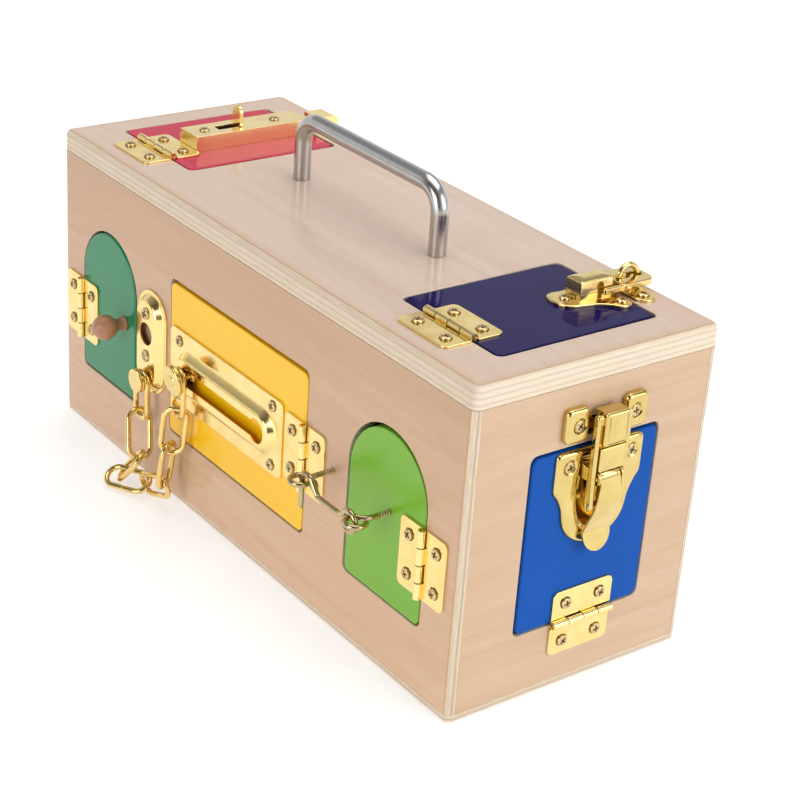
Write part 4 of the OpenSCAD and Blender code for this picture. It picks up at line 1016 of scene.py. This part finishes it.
piece("frame_eye", Geo().join(screw_eye(), on_front(90.3, 89.4)), sharp=60)
piece("door_eye", Geo().join(screw_eye(), on_front(137.6, 89.2) @ MIRROR_X), sharp=60)
hc = (132.5, 87.3)
hp = [(hc[0] + 5.2 * math.cos(RAD(a)), hc[1] + 5.2 * math.sin(RAD(a))) for a in [205 + 310 * i / 40 for i in range(41)]]
hp += [(p[0], p[1]) for p in smooth_path([hp[-1], (hc[0] - 6.6, hc[1] + 0.7), (hc[0] - 8.6, hc[1]), (hc[0] - 11, hc[1])], 4)[1:-1]]
bends = bend_path([(p[0], p[1], 0) for p in ((hc[0] - 11, hc[1]), (106, hc[1]), (99.4, 95), (92.2, 95), (91.9, 77), (91.98, 74.9))], 2.8, 8)
hp += [(p.x, p.y) for p in bends]
clean = [hp[0]]
for p in hp[1:]:
    if math.dist(p, clean[-1]) > 0.12:
        clean.append(p)
hr = [1.48] * len(clean)
hr[-1], hr[-2] = 1.1, 1.35
piece("hook", tube([(x, -95.0, z) for x, z in clean], hr, 22), sharp=60)

# ---------------------------------------------------------------- slide bolt
soft_copy("bolt_housing", 0.45, 3, mat=GOLD4)
soft_copy("slide_bolt", 0.4, 3)
soft_copy("bolt_keeper", 0.35, 3)

# ---------------------------------------------------------------- hasp
half = [(4.2, 17.4), (7.0, 21.8), (8.2, 27.0), (10.2, 33.0), (14.0, 38.4), (17.8, 41.6), (19.0, 45.6), (17.4, 49.4), (13.0, 50.6), (6.5, 49.7)]
other = [(-6.5, 49.7), (-13.0, 50.6), (-17.4, 49.4), (-19.0, 45.6), (-17.8, 41.6), (-14.4, 38.4), (-11.6, 33.0), (-10.8, 27.0), (-11.4, 21.8), (-9.6, 17.4)]
pear = smooth_path([(-2.8, 15.5)] + half + other, 5, closed=True)
hb = plate(pear, 0, 1.7, [circle(-3, 23.5, 2.4, 24), circle(-13.2, 46.5, 2.4, 24), circle(13.2, 46.5, 2.4, 24)], rt=0.75, rb=0.15, hrt=0.3, n=5)
lower = rings_shell([(rrect(-5.8, 25.8, 5.8, 46.1, 0.5, 3), 1.0), (rrect(-5.8, 25.8, 5.8, 46.1, 0.5, 3), 5.3), (rrect(-5.55, 26.05, 5.55, 45.85, 0.4, 3), 5.6), (rrect(-5.4, 26.2, 5.4, 45.7, 0.3, 3), 5.75)])
tier = [(rrect(-5.4, 26.2, 5.4, 45.7, 0.3, 3), 5.6), (rrect(-5.9, 25.6, 5.9, 46.25, 0.4, 3), 5.85), (rrect(-6.0, 25.5, 6.0, 46.35, 0.5, 3), 6.1), (rrect(-5.6, 25.9, 5.6, 46.1, 0.5, 3), 11.3),
        (rrect(-5.3, 26.15, 5.3, 45.9, 0.6, 3), 11.75), (rrect(-4.6, 27.0, 4.6, 45.2, 0.8, 3), 12.2), (rrect(-1.2, 30.5, 1.2, 42.5, 0.5, 3), 12.5)]
upper = rings_shell(tier)
along_x = Matrix(((0, 0, 1, 0), (1, 0, 0, 0), (0, 1, 0, 0), (0, 0, 0, 1)))
key = Geo().join(plate(rrect(36.6, 1.8, 39.6, 8.6, 0.5, 3), -20, 20, rt=0, rb=0), along_x)
eye = Geo().join(plate(circle(38.1, 8.4, 2.2, 24), -20, 20, rt=0, rb=0), along_x)
hb.join(carve(lower, [key, eye])).join(carve(upper, [key, eye]))
# pivot boss standing in the key-shaped opening
for s_ in (-1, 1):
    hb.join(lathe([(1.25, -0.8), (1.4, -0.6), (1.4, 0.8), (1.1, 1.1), (0.0, 1.2)], 24), move(s_ * 4.6, 42, 5.8) @ rot("Y", 90 * s_))
piece("hasp_base", Geo().join(hb, on_top(HSX, 0)), mat=GOLD3)
hl = plate(rrect(-9.2, 50.2, 9.2, 72.0, (1.4, 1.4, 5.0, 5.0), 8), 4.2, 7.6, [rrect(-2.7, 52.4, 2.7, 69.4, 2.4, 8)], rt=0.7, rb=0.5, hrt=0.5, hrb=0.3, n=5)
for s_ in (-1, 1):
    arm = rrect(6.9, 38.5, 9.2, 53.5, 1.1, 6)
    hl.join(plate(arm if s_ > 0 else [(-x, y) for x, y in arm], 4.25, 7.35, rt=0.6, rb=0.5, n=4))
piece("hasp_plate", Geo().join(hl, on_top(HSX, 0)), mat=GOLD3)
st = Geo()
st.join(plate(obround(-12.5, 12.5, 0, 6.6, 16), 0, 1.6, [circle(s_ * 12.5, 0, 3.2, 24) for s_ in (-1, 1)], rt=0.6, n=5))
loop = [(0, -6, 0.4), (0, -6, 3.5)] + [(0, -6 * math.cos(RAD(a)), 7 + 6 * math.sin(RAD(a))) for a in range(0, 181, 9)] + [(0, 6, 3.5), (0, 6, 0.4)]
st.join(tube(loop, 1.5, 24, tip=0))
for s_ in (-1, 1):
    st.join(lathe([(2.4, 1.5), (2.3, 1.9), (1.75, 2.2), (1.5, 2.6), (1.3, 2.9)], 24), move(0, 6 * s_, 0))
piece("staple", Geo().join(st, on_top(HSX, 61)), mat=GOLD3)

# ---------------------------------------------------------------- draw latch
LATCH = on_end(LY, 0)
P1, P2 = (118.5, 7.5), (104.5, 7.0)


def side(outline, x0, x1, r=0.3, n=3):
    """A plate standing on edge: outline of (height, distance from the face), from x0 to x1 across."""
    return Geo().join(plate(outline, x0, x1, rt=r, rb=r, n=n), along_x)


kp = Geo()
for s_ in (-1, 1):
    ear = rrect(11.3, 138, 25.3, 156, 3.2, 8)
    dishes = (circle(17.4 * s_, 147, 4.3, 40), [(0.0, 4.0), (0.12, 3.92), (0.3, 3.7), (0.95, 2.95), (1.2, 2.8), (2.7, 2.75), (2.8, 2.65), (2.8, 0.0)])
    kp.join(plate(ear if s_ > 0 else [(-x, y) for x, y in ear], 0, 4.0, [dishes], rt=2.2, rb=0.1, n=8))
kp.join(plate(rrect(-12, 139.5, 12, 150, 0.6, 3), 0, 1.4, rt=0.3))
kp.join(plate(rrect(-6, 141.5, 6, 146.5, 0.5, 3), 0.2, 5.6, rt=0.3))
kp.join(plate(rrect(-6, 141.5, 6, 150, 0.6, 3), 4.6, 5.6, rt=0.35, rb=0.35))
piece("latch_keeper", Geo().join(kp, LATCH), mat=GOLD2)

bo = [(23.8, 133.0), (26.4, 131.9), (27.2, 129.4), (27.2, 121.5), (27.2, 114.6), (26.6, 111.4), (24.5, 108.5), (22.5, 104.8), (21.0, 101.0), (20.0, 96.0), (18.9, 92.0), (16.9, 88.4), (14.2, 85.4), (11.0, 83.0), (7.2, 81.2), (3.2, 80.4)]
bo = [(4.0, 133.1), (10.0, 133.1), (15.0, 133.1), (18.5, 133.1), (20.6, 133.1), (22.0, 133.1)] + bo
body = smooth_path(bo + [(-x, z) for x, z in bo[::-1]], 4, closed=True)
ch = [(3.0, 129.4), (7.5, 129.4), (10.6, 129.4), (12.4, 129.2), (13.5, 128.0), (14.2, 125.0), (14.9, 118.0), (15.0, 110.0), (14.1, 102.0), (12.6, 95.6), (9.2, 89.9), (4.6, 86.8)]
channel = smooth_path(ch + [(-x, z) for x, z in ch[::-1]], 4, closed=True)
bd = [(circle(19.3 * s_, 125, 4.2, 40), [(0.0, 2.4), (0.15, 2.32), (0.5, 2.0), (1.0, 1.55), (1.25, 1.45), (2.6, 1.4), (2.7, 1.3), (2.7, 0.0)]) for s_ in (-1, 1)]
rim = plate(body, 0, 2.4, bd + [(channel, [(0.0, 2.4), (0.25, 2.3), (0.7, 2.0), (2.4, 0.8), (2.7, 0.62), (2.7, 0.0)])], rt=2.2, rb=0.1, n=8)
rim.join(plate([p for p in inset(channel if area(channel) > 0 else channel[::-1], 1.2)], 0, 0.62, rt=0, rb=0))
for s_ in (-1, 1):
    post = [(114.9, 0.5), (122.1, 0.5)] + arc(P1[0], P1[1], 3.6, 0, 180, 20)
    rim.join(side(post, s_ * 7.05 - 0.6, s_ * 7.05 + 0.6))
piece("latch_base", Geo().join(rim, LATCH), mat=GOLD2)
pin = lathe([(0, -7.9), (1.2, -7.85), (1.5, -7.6), (1.5, 7.6), (1.2, 7.85), (0, 7.9)], 28)
piece("latch_lever_pin", Geo().join(pin, LATCH @ move(0, P1[0], P1[1]) @ rot("Y", 90)))

# lever: a curved sheet, broad below, folded to a flat round thumb tab
top_curve = smooth_path([(121.6, 9.0), (120.3, 9.95), (118.2, 10.7), (115, 11.2), (110, 11.5), (105, 11.1), (100, 9.9), (95, 8.0), (90.6, 6.0), (87.8, 4.95)], 4)
tab = [(87.4, 5.05), (86.4, 5.35), (85.2, 5.6), (83.6, 5.95), (81.8, 6.3), (80.2, 6.65), (78.9, 6.9), (78.1, 7.08), (77.6, 7.18), (77.35, 7.22)]
wid = [(121.6, 6.15), (115.2, 6.2), (110, 7.2), (104, 7.7), (100.5, 7.9), (95, 8.6), (90, 8.75), (87.2, 8.65)]


def lever_width(z):
    if z < 86.2:
        return max(0.9, 8.6 * math.sqrt(max(0.0, 1 - ((86.2 - z) / 8.95) ** 2)))
    for (a, wa), (b, wb) in zip(wid, wid[1:]):
        if b <= z <= a:
            return wa + (wb - wa) * (a - z) / (a - b)
    return wid[-1][1] if z < wid[-1][0] else wid[0][1]


route = top_curve + tab
rows = []
for i, (z, o) in enumerate(route):
    a, b = route[max(0, i - 1)], route[min(len(route) - 1, i + 1)]
    d = Vector((b[0] - a[0], b[1] - a[1])).normalized()
    nz, no = d.y, -d.x            # outward, away from the face
    w, t, r = lever_width(z), 1.3, 0.42
    if i in (0, len(route) - 1):
        t, r = 0.7, 0.2
    sec = []
    for x, h in ((-w, -t + r), (-w, -r), (-w + 0.12, -0.12), (-w + r, 0.0), (-w * 0.5, 0.10), (0, 0.14), (w * 0.5, 0.10), (w - r, 0.0), (w - 0.12, -0.12), (w, -r), (w, -t + r), (w - 0.12, -t + 0.12), (w - r, -t), (0, -t), (-w + r, -t), (-w + 0.12, -t + 0.12)):
        sec.append((x, z + nz * (h - 0.16), o + no * (h - 0.16)))
    rows.append(sec)
lv = Geo()
for sec in rows:
    lv.v += sec
m_ = len(rows[0])
for i in range(len(rows) - 1):
    for j in range(m_):
        k = (j + 1) % m_
        lv.f.append((i * m_ + j, i * m_ + k, (i + 1) * m_ + k, (i + 1) * m_ + j))
lv.f.append(tuple(range(m_)))
lv.f.append(tuple((len(rows) - 1) * m_ + j for j in reversed(range(m_))))
for s_ in (-1, 1):
    cheek = arc(P2[0], P2[1], 3.2, 110, 270, 14) + arc(P1[0], P1[1], 3.2, -90, 60, 14)
    lv.join(side(cheek, s_ * 5.1 - 0.7, s_ * 5.1 + 0.7))
piece("latch_lever", Geo().join(lv, LATCH), mat=GOLD2, sharp=28)
rivet = [(0, -11.3), (1.1, -11.25), (1.75, -11.05), (1.9, -10.85), (1.5, -10.8), (1.5, 10.8), (1.9, 10.85), (1.75, 11.05), (1.1, 11.25), (0, 11.3)]
piece("latch_claw_pin", Geo().join(lathe(rivet, 28), LATCH @ move(0, P2[0], P2[1]) @ rot("Y", 90)))

# claw: two round-edged side bars joined by a sunken web, with a stepped block between them
bar = arc(P2[0], P2[1], 2.8, 90, 270, 18) + [(112, 4.4), (122, 5.0)] + arc(150.2, 7.0, 2.0, -90, 90, 12) + [(124, 9.0), (112, 9.4)]
cl = Geo()
for s_ in (-1, 1):
    cl.join(side(bar, s_ * 9.5 - 1.3, s_ * 9.5 + 1.3, r=1.25, n=7))
cl.join(plate([(-9.5, 124), (9.5, 124), (9.5, 151), (-9.5, 151)], 6.2, 7.4, rt=0.1))
cl.join(plate(rrect(-9.9, 146.5, 9.9, 152.0, 1.8, 6), 6.4, 8.9, rt=1.2, rb=0.3, n=5))
cl.join(plate(rrect(-7.7, 122.6, 7.7, 135.1, 0.8, 4), 6.4, 9.9, rt=0.9, rb=0.3, n=4))
cl.join(plate(rrect(-7.1, 136.0, 7.1, 153.6, 1.3, 5), 6.4, 11.0, rt=1.8, rb=0.2, n=7))
cl.join(plate(rrect(-7.0, 151.9, 7.0, 153.5, 0.5, 3), 1.9, 8.3, rt=0.2, rb=0.4))
cl.join(plate(rrect(-5.6, 148.9, 5.6, 153.4, 0.6, 3), 1.9, 3.0, rt=0.3, rb=0.3))
piece("latch_claw", Geo().join(cl, LATCH), mat=GOLD2)

# ---------------------------------------------------------------- floor, light
scene = bpy.context.scene
scene.view_settings.view_transform = "Standard"
scene.view_settings.look = "None"
scene.view_settings.exposure = 0.0

bpy.ops.mesh.primitive_circle_add(vertices=96, radius=9.0, fill_type="NGON", location=(0, 0, -0.0006))
floor = bpy.context.object
floor.name = "floor"
fm = Mat("floor_paper", rough=0.7)
fn = fm.noise(fm.P, 0.02, 4.0, 0.6)
paper = fm.mix(fm.range(fn, 0.3, 0.7), (0.68, 0.68, 0.68), (0.72, 0.72, 0.72))
fm.base(paper)
fm.link(paper, fm.bsdf.inputs["Emission Color"])
fm.bsdf.inputs["Emission Strength"].default_value = 0.72
fm.normal(fm.bump(fm.noise(fm.P, 0.6, 3.0), 0.03, 0.0002))
floor.data.materials.append(fm.m)


def softbox(name, at, to, size, power, col=(1, 1, 1), sy=None):
    d = bpy.data.lights.new(name, "AREA")
    d.energy = power
    d.color = col
    d.shape = "RECTANGLE"
    d.size = size
    d.size_y = sy or size
    o = bpy.data.objects.new(name, d)
    scene.collection.objects.link(o)
    o.location = at
    o.rotation_euler = (Vector(to) - Vector(at)).to_track_quat("-Z", "Y").to_euler()
    return o


softbox("key_right", (1.9, 0.75, 1.05), (0.1, 0, 0.08), 1.5, 18)
softbox("front", (0.30, -1.80, 0.62), (0, 0, 0.04), 1.1, 13)
softbox("overhead", (-0.15, 0.35, 2.1), (0, 0, 0.1), 1.9, 24, (0.97, 0.985, 1.0))

world = bpy.data.worlds.new("studio")
scene.world = world
world.use_nodes = True
wt = world.node_tree
bg = wt.nodes["Background"]
tcw = wt.nodes.new("ShaderNodeTexCoord")
dot = wt.nodes.new("ShaderNodeVectorMath")
dot.operation = "DOT_PRODUCT"
wt.links.new(tcw.outputs["Generated"], dot.inputs[0])
dot.inputs[1].default_value = (0.253, -0.962, 0.101)
wr = wt.nodes.new("ShaderNodeValToRGB")
wr.color_ramp.interpolation = "EASE"
wr.color_ramp.elements[0].position = 0.35
wr.color_ramp.elements[0].color = (1, 1, 1, 1)
wr.color_ramp.elements[1].position = 0.85
wr.color_ramp.elements[1].color = (0.10, 0.098, 0.094, 1)
wt.links.new(dot.outputs["Value"], wr.inputs["Fac"])
# pale walls up to head height, a dim ceiling above
up = wt.nodes.new("ShaderNodeSeparateXYZ")
wt.links.new(tcw.outputs["Generated"], up.inputs[0])
wz = wt.nodes.new("ShaderNodeValToRGB")
wz.color_ramp.interpolation = "EASE"
wz.color_ramp.elements[0].position = 0.42
wz.color_ramp.elements[0].color = (0.85, 0.85, 0.85, 1)
wz.color_ramp.elements[1].position = 0.56
wz.color_ramp.elements[1].color = (0.34, 0.34, 0.345, 1)
wt.links.new(up.outputs["Z"], wz.inputs["Fac"])
wm = wt.nodes.new("ShaderNodeMixRGB")
wm.blend_type = "MULTIPLY"
wm.inputs["Fac"].default_value = 1.0
wt.links.new(wr.outputs["Color"], wm.inputs[1])
wt.links.new(wz.outputs["Color"], wm.inputs[2])
wt.links.new(wm.outputs["Color"], bg.inputs["Color"])
bg.inputs["Strength"].default_value = 1.0
